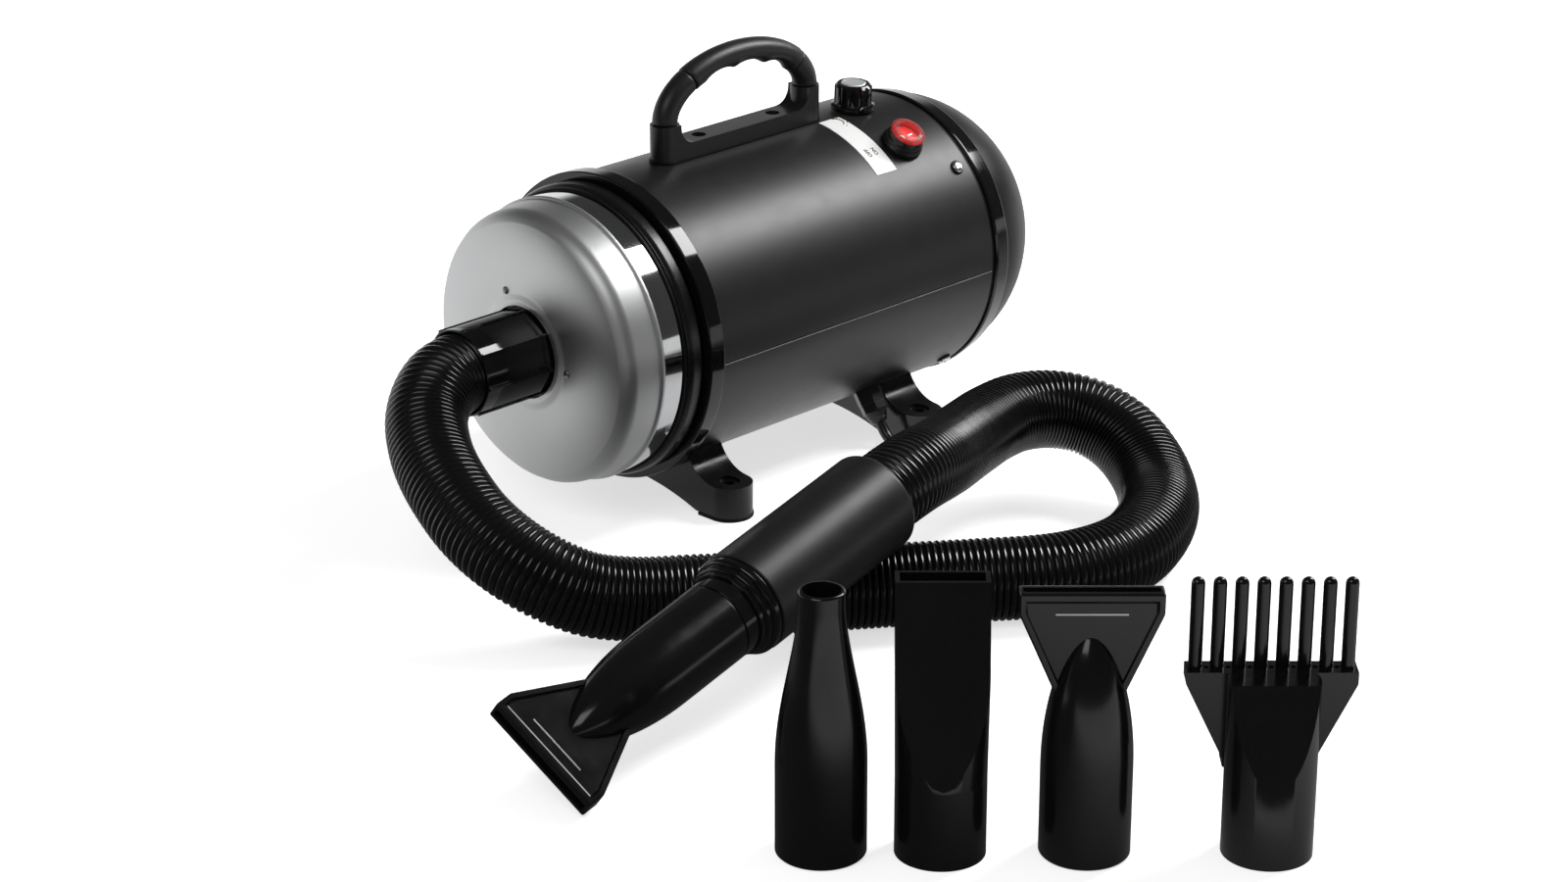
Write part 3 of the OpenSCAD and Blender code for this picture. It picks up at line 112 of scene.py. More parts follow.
def mapRange(tree, source, numbers, **options):
    ends = dict(zip(("From Min", "From Max", "To Min", "To Max"), numbers))
    return addNode(tree, "ShaderNodeMapRange", Value=source, **options, **ends).outputs["Result"]


def joinValues(tree, operation, a, b):
    node = addNode(tree, "ShaderNodeMath", operation=operation)
    link(a, node.inputs[0])
    link(b, node.inputs[1])
    return node.outputs[0]


def makeFinish(name, colour, rough, tint=None, stretch=(1, 1, 1), cloud=30, smear=90, grain=2200, depth=0.03,
               bump=0.3, specular=0.5, metal=0, shader=None):
    # colour clouds, uneven gloss and surface grain, all read from the object's own coordinates
    finish = bpy.data.materials.new(name)
    finish.use_nodes = True
    tree = finish.node_tree
    surface = tree.nodes["Principled BSDF"]
    coords = addNode(tree, "ShaderNodeTexCoord").outputs["Object"]
    where = addNode(tree, "ShaderNodeMapping", Vector=coords, Scale=stretch).outputs[0]
    noises = []
    for source, scale, detail, harshness in ((coords, cloud, 4, 0.55), (where, smear, 5, 0.6),
                                             (where, grain, 2, 0.5)):
        noise = addNode(tree, "ShaderNodeTexNoise", Vector=source, Scale=scale, Detail=detail,
                        Roughness=harshness)
        noises.append(noise.outputs["Fac"])
    blend = addNode(tree, "ShaderNodeMix", data_type="RGBA")
    blend.inputs[6].default_value = (*colour, 1)
    blend.inputs[7].default_value = (*(tint or [c * 1.25 for c in colour]), 1)
    # the middle of each noise is stretched over its whole range
    link(mapRange(tree, noises[0], (0.3, 0.7, 0, 1)), blend.inputs[0])
    link(blend.outputs[2], surface.inputs["Base Color"])
    link(mapRange(tree, noises[1], (0.3, 0.7, *rough)), surface.inputs["Roughness"])
    addBump(tree, noises[2], bump, depth)
    values = {"Specular IOR Level": specular, "Metallic": metal, **(shader or {})}
    for socket, value in values.items():
        surface.inputs[socket].default_value = value
    return finish


def addBump(tree, source, strength, depth):
    relief = addNode(tree, "ShaderNodeBump", Height=source, Strength=strength, Distance=depth * mm)
    link(relief.outputs["Normal"], tree.nodes["Principled BSDF"].inputs["Normal"])


# colour, roughness from and to, and what else differs from the usual
finishLooks = {
    "powderCoat": ((0.0075, 0.0075, 0.008), (0.37, 0.41), dict(grain=1700, depth=0.04)),
    "glossTrim": ((0.004, 0.004, 0.0042), (0.05, 0.08), dict(grain=900, bump=0.03)),
    "satinTrim": ((0.005, 0.005, 0.0052), (0.24, 0.3), dict(bump=0.12, specular=0.45)),
    "sealRubber": ((0.0025, 0.0025, 0.0025), (0.5, 0.62), dict(grain=1800, specular=0.2)),
    "mirrorSteel": ((0.56, 0.565, 0.575), (0.05, 0.08),
                    dict(stretch=(30, 1, 1), grain=700, bump=0.03, metal=1.0)),
    "pearlSteel": ((0.62, 0.625, 0.63), (0.44, 0.46),
                   dict(tint=(0.64, 0.645, 0.65), cloud=8, smear=500, grain=3600, depth=0.012, bump=0.1,
                        metal=1.0)),
    "screwSteel": ((0.62, 0.62, 0.63), (0.16, 0.26), dict(bump=0.1, metal=1.0)),
    "domePlastic": ((0.006, 0.006, 0.0063), (0.36, 0.42), dict(grain=1600, depth=0.05, specular=0.22)),
    "handlePlastic": ((0.0065, 0.0065, 0.0068), (0.3, 0.36), dict(grain=1900, depth=0.04, specular=0.45)),
    "softGrip": ((0.007, 0.007, 0.0073), (0.36, 0.44),
                 dict(grain=2600, depth=0.05, specular=0.45,
                      shader={"Sheen Weight": 0.04, "Sheen Roughness": 0.5})),
    "labelWhite": ((0.86, 0.86, 0.85), (0.34, 0.42), dict(tint=(0.9, 0.9, 0.89), bump=0.05)),
    "printInk": ((0.012, 0.012, 0.012), (0.4, 0.5), dict(bump=0.05)),
    # painted glow: the white marks on the rocker emit light, so they stay bright in the shade under the lens
    "markWhite": ((0.9, 0.88, 0.86), (0.4, 0.5),
                  dict(bump=0.05, shader={"Emission Strength": 1.3, "Emission Color": (1, 0.93, 0.9, 1)})),
    "bootRubber": ((0.004, 0.004, 0.004), (0.28, 0.36), dict(bump=0.15, specular=0.45)),
    "rockerRed": ((0.85, 0.03, 0.025), (0.34, 0.42),
                  dict(tint=(0.9, 0.06, 0.05), bump=0.04, specular=0.2,
                       shader={"Emission Strength": 0.3, "Emission Color": (1, 0.05, 0.04, 1)})),
    "bracketCoat": ((0.0045, 0.0045, 0.0048), (0.16, 0.24), dict(grain=1300, depth=0.04, bump=0.2)),
    "glandNylon": ((0.005, 0.005, 0.0052), (0.3, 0.38), dict(grain=2000, specular=0.4)),
    "leadJacket": ((0.0045, 0.0045, 0.0045), (0.28, 0.36), dict(grain=1400, bump=0.15)),
    "wandPlastic": ((0.009, 0.009, 0.0095), (0.36, 0.41), dict(grain=2000, depth=0.04)),
    "nozzleBlack": ((0.0045, 0.0045, 0.0048), (0.13, 0.19), dict(grain=1200, bump=0.07)),
    # painted highlight strips on the black fan nozzle
    "plateBright": ((0.45, 0.45, 0.46), (0.2, 0.3), dict(bump=0.05, metal=0.6)),
    "filterFoam": ((0.05, 0.05, 0.052), (0.8, 0.95),
                   dict(tint=(0.11, 0.11, 0.115), cloud=900, grain=700, depth=0.6, bump=0.9)),
    "pressedSteel": ((0.3, 0.305, 0.31), (0.3, 0.45), dict(metal=1.0)),
    "motorCase": ((0.14, 0.145, 0.15), (0.35, 0.5), dict(grain=800, depth=0.1, metal=0.8)),
    "motorCore": ((0.2, 0.2, 0.21), (0.35, 0.5), dict(stretch=(14, 1, 1), grain=400, depth=0.2, metal=0.9)),
    "bearingSteel": ((0.6, 0.6, 0.61), (0.12, 0.2), dict(metal=1.0)),
    "rotorCopper": ((0.42, 0.23, 0.12), (0.28, 0.4),
                    dict(tint=(0.5, 0.3, 0.17), stretch=(8, 1, 1), grain=600, depth=0.15, metal=0.9)),
    "heaterFrame": ((0.3, 0.27, 0.22), (0.4, 0.6), dict(grain=500, depth=0.1, metal=0.5)),
}
finishes = {name: makeFinish(name, *look[:2], **look[2]) for name, look in finishLooks.items()}


def makeHoseFinish():
    # dull dust in the valleys and gloss on the crests, by the height of each rib
    finish = makeFinish("hoseGloss", (0.0035, 0.0035, 0.0037), (0.1, 0.16), grain=900, bump=0.08)
    tree = finish.node_tree
    rough = tree.nodes["Principled BSDF"].inputs["Roughness"]
    height = addNode(tree, "ShaderNodeAttribute", attribute_name="ribHeight")
    dull = mapRange(tree, height.outputs["Fac"], (0, 1, 0.35, 0))
    link(joinValues(tree, "ADD", rough.links[0].from_socket, dull), rough)
    return finish


def makeSpunFinish(name, centre, axis):
    # fine circles turned into a metal face about its centre
    finish = makeFinish(name, (0.9, 0.905, 0.91), (0.42, 0.52), bump=0.05, metal=1.0)
    tree = finish.node_tree
    coords = addNode(tree, "ShaderNodeTexCoord").outputs["Object"]
    shift = addNode(tree, "ShaderNodeVectorMath", operation="SUBTRACT")
    shift.inputs[1].default_value = centre
    across = addNode(tree, "ShaderNodeVectorMath", operation="CROSS_PRODUCT")
    across.inputs[1].default_value = axis
    reach = addNode(tree, "ShaderNodeVectorMath", operation="LENGTH")
    for source, node in ((coords, shift), (shift.outputs[0], across), (across.outputs[0], reach)):
        link(source, node.inputs[0])
    rings = addNode(tree, "ShaderNodeTexNoise", noise_dimensions="1D", W=reach.outputs["Value"], Scale=6000,
                    Detail=3)
    addBump(tree, rings.outputs["Fac"], 0.9, 0.06)
    return finish


finishes["hoseGloss"] = makeHoseFinish()
# a moulded lens: clear in the middle, smoky further out, and red round its foot
windowLooks = {"clearWindow": ((0.9, 0.12, 0.1), 0.08, 0.12), "windowSmoke": ((0.34, 0.17, 0.17), 0.3, 0.4),
               "windowRim": ((0.75, 0.02, 0.015), 0.92, 0.5)}
for name, (colour, cover, shine) in windowLooks.items():
    finishes[name] = makeFinish(name, colour, (0.2, 0.26), bump=0.02, specular=shine, shader={"Alpha": cover})
print("finishes made:", len(finishes))


# making pieces

slots = {"powderCoat": "barrel_coat", "glossTrim": "gloss_black", "satinTrim": "satin_black",
         "mirrorSteel": "polished_steel", "pearlSteel": "satin_steel", "pressedSteel": "screw_steel",
         "spunCap": "polished_steel", "hoseGloss": "hose_plastic", "plateBright": "nozzle_black",
         "labelWhite": "dial_white", "markWhite": "dial_white", "printInk": "dial_white"}
mergeGap = 0.0005  # mm between points that count as one
solidGap = 0.002   # mm, the same for the solids of the frame


def snakeName(name):
    return re.sub("([A-Z])", r"_\1", name).lower()


def addObject(name, data):
    holder = bpy.data.objects.new(name, data)
    scene.collection.objects.link(holder)
    return holder


def showPiece(name, data, finish, body="dryer", slotName=None, nodes=None):
    # a piece stands for the solid of its own name unless told otherwise; its finish's slot is looked up but
    # not given to it
    piece = addObject(name, data)
    data.materials.append(finishes[finish])
    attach(piece, body)
    slotName or slots.get(finish, snakeName(finish))
    if nodes is None:
        nodes = [snakeName(name)]
    if nodes:
        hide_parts(*nodes)
    return piece


def closeMesh(bm, place, name, sharp=33, unit=mm):
    # puts the shape in its place, in metres, and rounds its shading up to the sharp angle
    ops.remove_doubles(bm, verts=bm.verts, dist=mergeGap if unit == mm else 1e-6)
    if place is not None:
        ops.transform(bm, matrix=place, verts=bm.verts)
    ops.scale(bm, vec=(unit, unit, unit), verts=bm.verts)
    if unit == mm:
        ops.recalc_face_normals(bm, faces=bm.faces)
    for face in bm.faces:
        face.smooth = True
    mesh = bpy.data.meshes.new(name)
    bm.to_mesh(mesh)
    bm.free()
    mesh.set_sharp_from_angle(angle=radians(sharp))
    return mesh


def evenShading(piece):
    even = piece.modifiers.new("evenShading", "WEIGHTED_NORMAL")
    even.keep_sharp = True
    even.weight = 60
    return piece


def softEdges(piece, width, segments=3, angle=32):
    soft = piece.modifiers.new("softEdges", "BEVEL")
    soft.width = width * mm
    soft.segments = segments
    soft.limit_method = "ANGLE"
    soft.angle_limit = radians(angle)
    evenShading(piece)


def bevelShape(bm, geom, size, affect, segments, **options):
    ops.bevel(bm, geom=geom, offset=size, offset_type="OFFSET", segments=segments, profile=0.5,
              affect=affect, material=-1, **options)


def drawProfile(bm, corners, loop=True):
    # corners are (radius, along, rounding); loop closes a wall that doesn't reach the axis
    points = [bm.verts.new((c[0], 0, c[1])) for c in corners]
    for a, b in zip(points, points[1:]):
        bm.edges.new((a, b))
    if loop:
        bm.edges.new((points[-1], points[0]))
    for size in sorted({c[2] for c in corners if len(c) > 2}):
        chosen = [p for p, c in zip(points, corners) if len(c) > 2 and c[2] == size]
        bevelShape(bm, chosen, size, "VERTICES", 4)


def spinRound(bm, steps):
    ops.spin(bm, geom=bm.verts[:] + bm.edges[:], cent=(0, 0, 0), axis=(0, 0, 1), angle=2 * pi, steps=steps,
             use_merge=True)


def turnProfile(corners, steps=128, loop=True):
    bm = bmesh.new()
    drawProfile(bm, corners, loop)
    spinRound(bm, steps)
    ops.remove_doubles(bm, verts=bm.verts, dist=mergeGap)
    return bm


def shapedPiece(name, bm, place, finish, sharp=33, **tags):
    return evenShading(showPiece(name, closeMesh(bm, place, name, sharp), finish, **tags))


def turnedPiece(name, corners, place, finish, steps=128, loop=True, **tags):
    return shapedPiece(name, turnProfile(corners, steps, loop), place, finish, **tags)


def copyNode(node):
    # the loose triangles of a solid, joined up and with their flats made whole
    bm = bmesh.new()
    bm.from_mesh(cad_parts[node].data)
    ops.remove_doubles(bm, verts=bm.verts, dist=solidGap * mm)
    ops.dissolve_limit(bm, angle_limit=radians(0.6), verts=bm.verts, edges=bm.edges)
    return bm


def copiedPiece(name, finish, width, segments=3, node=None, **tags):
    node = node or snakeName(name)
    piece = showPiece(name, closeMesh(copyNode(node), None, name, unit=1), finish, nodes=[node], **tags)
    if width:
        softEdges(piece, width, segments)
    return piece


def vertsOf(items):
    return [item for item in items if isinstance(item, bmesh.types.BMVert)]


def sweepRings(stations, sides, heights=None, bridge=False):
    # each station is (centre, sideways, upwards, radius of each spoke)
    bm = bmesh.new()
    spoke = bm.verts.layers.int.new("spoke")
    level = bm.verts.layers.float.new("ribHeight") if heights else None
    ring = ops.create_circle(bm, segments=sides, radius=1)["verts"]
    for number, vert in enumerate(ring):
        vert[spoke] = number
    first = edges = bm.edges[:]
    for count, (centre, sideways, upwards, radius) in enumerate(stations):
        if count:
            made = ops.extrude_edge_only(bm, edges=edges)["geom"]
            ring = vertsOf(made)
            fresh = set(ring)
            edges = [item for item in made if isinstance(item, bmesh.types.BMEdge)
                     and item.verts[0] in fresh and item.verts[1] in fresh]
        for vert in ring:
            turn = 2 * pi * vert[spoke] / sides
            reach = radius(turn) if callable(radius) else radius
            vert.co = centre + reach * (cos(turn) * upwards + sin(turn) * sideways)
            if heights:
                vert[level] = heights[count]
    if bridge:
        ops.bridge_loops(bm, edges=first + edges)
    else:
        ops.holes_fill(bm, edges=first + edges, sides=sides + 1)
    return bm


def smoothRoute(points):
    # a curve through the points, and its length along them
    spots = [Vector(p) for p in points]
    sums = [0]
    for a, b in zip(spots, spots[1:]):
        sums.append(sums[-1] + (b - a).length)

    def lean(i):
        a, b = max(i - 1, 0), min(i + 1, len(spots) - 1)
        return (spots[b] - spots[a]) / (sums[b] - sums[a])

    def at(s):
        s = min(max(s, 0), sums[-1])
        i = next(k for k in range(len(sums) - 1) if s <= sums[k + 1] or k == len(sums) - 2)
        h = sums[i + 1] - sums[i]
        t = (s - sums[i]) / h
        return ((2 * t ** 3 - 3 * t ** 2 + 1) * spots[i] + (t ** 3 - 2 * t ** 2 + t) * h * lean(i)
                + (3 * t ** 2 - 2 * t ** 3) * spots[i + 1] + (t ** 3 - t ** 2) * h * lean(i + 1))

    return at, sums[-1]


def makeBooleans(solid, cutters, mode):
    # applies each cutter to the solid's mesh, and takes the cutters away
    for cutter in cutters:
        step = solid.modifiers.new("step", "BOOLEAN")
        step.operation = mode
        step.solver = "EXACT"
        step.object = cutter
    graph = bpy.context.evaluated_depsgraph_get()
    shaped = bpy.data.meshes.new_from_object(solid.evaluated_get(graph))
    solid.modifiers.clear()
    solid.data = shaped
    for cutter in cutters:
        bpy.data.objects.remove(cutter)


def looseSolid(bm, name="cutter"):
    mesh = bpy.data.meshes.new(name)
    ops.recalc_face_normals(bm, faces=bm.faces)
    bm.to_mesh(mesh)
    bm.free()
    return addObject(name, mesh)


# air hose and mains lead

hose = {
    "ribs": 270, "crest": 22.2, "valley": 20.6, "bore": 19.4, "sides": 36, "boreSteps": 120,
    "pathSteps": 240,
    "route": [
        (-169.5, 0, 102), (-184, 0, 102), (-199, 0, 102), (-214.1, 0, 102), (-227, -2, 100.5),
        (-239, -7, 96), (-250, -15, 89), (-259, -27, 82), (-267, -42, 75), (-274, -62, 67), (-278, -85, 57),
        (-276, -108, 47), (-267, -128, 37), (-252, -143, 28), (-232, -157, 23.5), (-208, -174, 22.5),
        (-183, -194, 22.5), (-150, -219, 22.5), (-119, -242, 22.5), (-88, -266, 22.5), (-56, -289, 22.5),
        (-30, -298, 22.5), (-4, -298.5, 22.5), (22, -290, 22.5), (46, -277, 22.5), (67, -260, 23),
        (82, -240, 29), (88, -220, 38), (86, -204, 45), (78, -190, 50), (64, -179, 53), (46, -173, 54),
        (24, -174, 54), (0, -182, 56), (-24, -193, 60), (-50, -207, 66), (-76, -221, 73), (-100, -231, 77.5),
        (-120, -236, 77.6), (-138.5, -237.8, 74.5), (-153.2, -239.2, 71.7), (-167.8, -240.7, 68.9),
        (-182.5, -242.1, 66.1)],
}
ribShape = [(0, 0), (0.1, 0.5), (0.24, 0.88), (0.44, 1), (0.62, 0.9), (0.8, 0.52)]  # place in the rib, height


def makeHose():
    at, length = smoothRoute(hose["route"])

    def station(s, radius):
        ahead = (at(s + 0.4) - at(s - 0.4)).normalized()
        sideways = Vector((0, 0, 1)).cross(ahead).normalized()
        return at(s), sideways, ahead.cross(sideways), radius

    pitch = length / hose["ribs"]
    rise = hose["crest"] - hose["valley"]
    stations, heights = [], []
    for rib in range(hose["ribs"]):
        for part, height in ribShape:
            stations.append(station((rib + part) * pitch, hose["valley"] + rise * height))
            heights.append(height)
    stations.append(station(length, hose["valley"]))
    heights.append(0)
    for step in range(hose["boreSteps"] + 1):
        stations.append(station(length * (1 - step / hose["boreSteps"]), hose["bore"]))
        heights.append(0)
    bm = sweepRings(stations, hose["sides"], heights, bridge=True)
    piece = showPiece("airHose", closeMesh(bm, None, "airHose", 70), "hoseGloss")
    path = [tuple(at(length * k / hose["pathSteps"]) * mm) for k in range(hose["pathSteps"] + 1)]


lead = {
    "diameter": 6.5, "coilRadius": 46.5, "pitch": 7.2, "coilTurns": 3, "coilAt": (61, 150),
    "coilHeight": 4.35, "coilEnd": 6.25, "perTurn": 48, "routeSteps": 110,
    "route": [
        (55.5, -60.8, 15.2), (55.5, -64.5, 9.9), (55.5, -69, 6.2), (55.5, -75, 4.2), (55.5, -81, 3.6),
        (55.5, -88, 3.5), (59, -101, 3.5), (68.5, -110.5, 3.5), (81.5, -114, 3.5), (94.5, -110.5, 3.5),
        (104, -101, 3.5), (107.5, -88, 3.5), *[(107.5, y, 3.5) for y in range(-70, 91, 20)],
        (107.5, 110, 3.7), (107.5, 126, 4.1), (107.5, 137, 4.35), (107.5, 143.5, 4.35)],
}


def coilSpot(t):
    # spirals in on the floor, climbs over half a turn in the middle, and spirals out on top
    turns, pitch = lead["coilTurns"], lead["pitch"]
    radius = lead["coilRadius"] - pitch * min(t, 2 * turns - t)
    rise = min(1, max(0, 2 * (t - turns + 0.25)))
    x, y = lead["coilAt"]
    return Vector((x + radius * cos(2 * pi * t), y + radius * sin(2 * pi * t),
                   lead["coilHeight"] + pitch * rise))


def makeLead():
    at, length = smoothRoute(lead["route"])
    spots = [at(length * k / lead["routeSteps"]) for k in range(lead["routeSteps"] + 1)]
    turns = int(lead["coilEnd"] * lead["perTurn"])
    spots += [coilSpot(k / lead["perTurn"]) for k in range(turns + 1)]
    spots.append(spots[-1] + Vector((-lead["diameter"], 0, 0)))
    curve = bpy.data.curves.new("mainsLead", "CURVE")
    curve.dimensions = "3D"
    curve.bevel_depth = lead["diameter"] / 2 * mm
    curve.bevel_resolution = 4
    curve.use_fill_caps = True
    spline = curve.splines.new("POLY")
    spline.points.add(len(spots) - 1)
    for point, spot in zip(spline.points, spots):
        point.co = (*(spot * mm), 1)
    piece = showPiece("mainsLead", curve, "leadJacket", nodes=["mains_lead", "lead_coil"])
    whole = sum((b - a).length for a, b in zip(spots, spots[1:])) * mm
    tuple(c * mm for c in lead["route"][0])


setCamera()
makeHose()
mainsPlug = copiedPiece("mainsPlug", "leadJacket", 0.9)
coilTie = copiedPiece("coilTie", "leadJacket", 0.3)
makeLead()
print("cords laid")


# barrel and the rings in front of it

barrel = {"radius": 85, "wall": 1.5, "from": -106.2, "to": 124.8, "seamAngle": -177, "seamWidth": 0.9,
          "seamDepth": 0.45}


def makeBarrel():
    radius, inner = barrel["radius"], barrel["radius"] - barrel["wall"]
    bm = turnProfile([(inner, barrel["from"]), (radius, barrel["from"], 0.3), (radius, barrel["to"], 0.3),
                      (inner, barrel["to"])], 240)
    seam = [e for e in bm.edges if all(abs(v.co.y) < 0.001 and v.co.x > inner + 0.8 for v in e.verts)]
    bevelShape(bm, seam, barrel["seamWidth"] / 2, "EDGES", 2)
    for vert in bm.verts:
        if abs(vert.co.y) < 0.05 and vert.co.x > inner + 0.8:
            vert.co.x -= barrel["seamDepth"]
    shapedPiece("barrelTube", bm, axisPlace(barrel["seamAngle"]), "powderCoat", nodes=["barrel"])


makeBarrel()
rings = {
    "frontBand": ("glossTrim", [
        (76, -108.7), (88.2, -108.7, 0.9), (88.2, -98.2, 0.9), (85.05, -98.2), (85.05, -106.2),
        (76, -106.2)]),
    "frontSeal": ("sealRubber", [(76, -111.3), (80, -111.3), (80, -108.7), (76, -108.7)]),
    "frontRing": ("satinTrim", [
        (76, -120.6), (82.4, -120.6, 1.1), (83.7, -117.8, 0.8), (83.7, -111.3, 0.9), (76, -111.3)]),
    "bowlGasket": ("sealRubber", [(76, -122.7), (81.6, -122.7, 0.5), (81.6, -120.6, 0.5), (76, -120.6)]),
    "bowlBand": ("mirrorSteel", [(79, -136.3), (80.4, -136.3, 0.25), (80.4, -122.7, 0.25), (79, -122.7)]),
    "rearGasket": ("sealRubber", [(83.5, 124.8), (84.4, 124.8, 0.3), (84.4, 127.4, 0.3), (83.5, 127.4)]),
    "rearRing": ("glossTrim", [
        (81, 105.4), (83.5, 105.4), (83.5, 127.4), (85.4, 127.4, 0.3), (86, 128.6, 0.5), (84, 139.6, 0.5),
        (83.4, 140.3, 0.2), (81, 140.3)]),
}
for name, (finish, corners) in rings.items():
    turnedPiece(name, corners, axisPlace(), finish, 200)

bowl = {"flat": 40.8, "shoulder": 77.2, "corner": 9.4, "face": -166.5, "wall": 1.2, "steps": 14,
        "sweep": 58, "cornerOut": 0.35, "cornerBack": 6.8, "rounding": 6.2}


def bowlCurve(inset):
    # the pressed face, from its flat out to the shoulder, where it turns with a wide rounding
    b = bowl
    for k in range(1, b["steps"] + 1):
        a = radians(b["sweep"]) * k / b["steps"]
        yield (b["flat"] + (b["shoulder"] - b["flat"] - inset) * sin(a),
               b["face"] + b["corner"] - (b["corner"] - inset) * cos(a))
    yield b["shoulder"] + b["cornerOut"] - inset, b["face"] + b["cornerBack"] + inset * 0.6, b["rounding"]


def makeBowl():
    w, face = bowl["wall"], bowl["face"]
    outside = [(26.2, face - 1.2, 0.3), (29.2, face - 1.2, 0.6), (32.8, face, 0.9), (bowl["flat"], face)]
    outside += list(bowlCurve(0))
    outside += [(79.4, -138.9, 0.3), (80.8, -138.1, 0.45), (80.8, -136.3, 0.45), (79, -136.3), (79, -122.7)]
    inside = [(26.2, face - 1.2 + w), (29.2, face - 1.2 + w, 0.5), (32.8, face + w, 0.8),
              (bowl["flat"], face + w)]
    inside += list(bowlCurve(w)) + [(77.8, -138.3), (77.8, -122.7)]
    turnedPiece("frontBowl", outside + inside[::-1], axisPlace(), "pearlSteel", 240)


makeBowl()

collar = {"flat": 25, "bore": 23.3, "throat": 19.4, "from": -214.1, "seat": -165.3, "back": 44.6,
          "flange": 39, "thick": 2.4, "sides": 8, "perSide": 20, "turned": 8, "bulge": 0.35, "rib": 0.9}


def makeCollar():
    # a turned sleeve with eight slightly flattened sides, and a pair of thin ribs at each corner between them
    c = collar
    corners = [(c["throat"], c["seat"] + c["thick"]), (c["throat"], c["from"] + c["back"]),
               (c["bore"], c["from"] + c["back"]), (c["bore"], c["from"], 0.4), (c["flat"], c["from"], 0.5),
               (c["flat"], c["seat"]), (c["flange"], c["seat"]), (c["flange"], c["seat"] + c["thick"])]
    bm = turnProfile(corners, c["sides"] * c["perSide"])
    step = 2 * pi / (c["sides"] * c["perSide"])

    def fromCorner(spot):
        # how many steps round it lies from the nearest corner
        return (atan2(spot.y, spot.x) / step + c["perSide"] / 2) % c["perSide"] - c["perSide"] / 2

    for vert in bm.verts:
        if c["bore"] + 0.8 < hypot(vert.co.x, vert.co.y) < c["flat"] + 0.1:
            half = pi / c["sides"]
            flat = cos(half) / cos(half - abs(fromCorner(vert.co)) * step)
            vert.co.x *= 1 - c["bulge"] * (1 - flat)
            vert.co.y *= 1 - c["bulge"] * (1 - flat)
    strips = []
    for face in bm.faces:
        middle = face.calc_center_median()
        if abs(hypot(middle.x, middle.y) - c["flat"]) < 0.5 and 0 < abs(fromCorner(middle)) < 1 \
                and c["from"] + 0.6 < middle.z < c["seat"] - 0.1:
            strips.append(face)
    ops.inset_individual(bm, faces=strips, thickness=0.08, depth=0, use_even_offset=True)
    for face in ops.extrude_discrete_faces(bm, faces=strips)["faces"]:
        middle = face.calc_center_median()
        out = Vector((middle.x, middle.y, 0)).normalized() * c["rib"]
        ops.translate(bm, vec=out, verts=face.verts[:])
    piece = showPiece("outletCollar", closeMesh(bm, axisPlace(c["turned"]), "outletCollar"), "glossTrim")
    softEdges(piece, 0.3, 3)


makeCollar()


def placed(bm, place):
    ops.transform(bm, matrix=place, verts=bm.verts)
    return bm


def joinedPiece(name, shapes, finish, **tags):
    # several solids of one kind in one piece, each already in its place
    whole = bmesh.new()
    for bm in shapes:
        part = bpy.data.meshes.new("part")
        bm.to_mesh(part)
        bm.free()
        whole.from_mesh(part)
        bpy.data.meshes.remove(part)
    return shapedPiece(name, whole, None, finish, **tags)


rivet = {"at": 35, "count": 3, "first": 7,
         "corners": [(0, -1.4), (1.1, -1.25), (2.0, -0.75, 0.2), (2.3, 0), (1.2, 0), (1.2, 6), (0, 6)]}
rivets = []
for k in range(rivet["count"]):
    place = Matrix.Translation((bowl["face"], 0, axisHeight)) @ spun(120 * k + rivet["first"], "X") \
        @ Matrix.Translation((0, -rivet["at"], 0)) @ spun(90, "Y")
    rivets.append(placed(turnProfile(rivet["corners"], 32, loop=False), place))
joinedPiece("collarRivets", rivets, "pressedSteel")
print("front end made")


# rear end

dome = {"middle": 129.3, "length": 76.3, "radius": 83, "wall": 1.6, "steps": 24, "seat": 48,
        "grilleEnd": 191.5, "from": 140.3}


def domeCurve(inset):
    length, radius = dome["length"] - inset, dome["radius"] - inset
    a0 = asin((dome["from"] - dome["middle"]) / length)
    a1 = acos(dome["seat"] / dome["radius"])
    for k in range(dome["steps"] + 1):
        a = a0 + (a1 - a0) * k / dome["steps"]
        yield radius * cos(a), dome["middle"] + length * sin(a)


def makeDome():
    end = dome["grilleEnd"]
    lip = [(44.05, end, 0.4), (44.05, end - 2.5), (43.05, end - 2.5), (43.05, end - 11), (45.6, end - 11),
           (45.6, end - 2.6)]
    turnedPiece("rearDome", list(domeCurve(0)) + lip + list(domeCurve(dome["wall"]))[::-1], axisPlace(),
                "domePlastic", 200)


makeDome()
copiedPiece("intakeGrille", "satinTrim", 0.3, slotName="dome_plastic")

screw = {"head": 3.7, "height": 2.0, "shank": 1.6, "slotHalf": 0.5, "slotReach": 2.3, "slotDepth": 1.2,
         "along": 115.3, "angle": 48.8, "seat": 85.8, "grilleAt": 39.5}


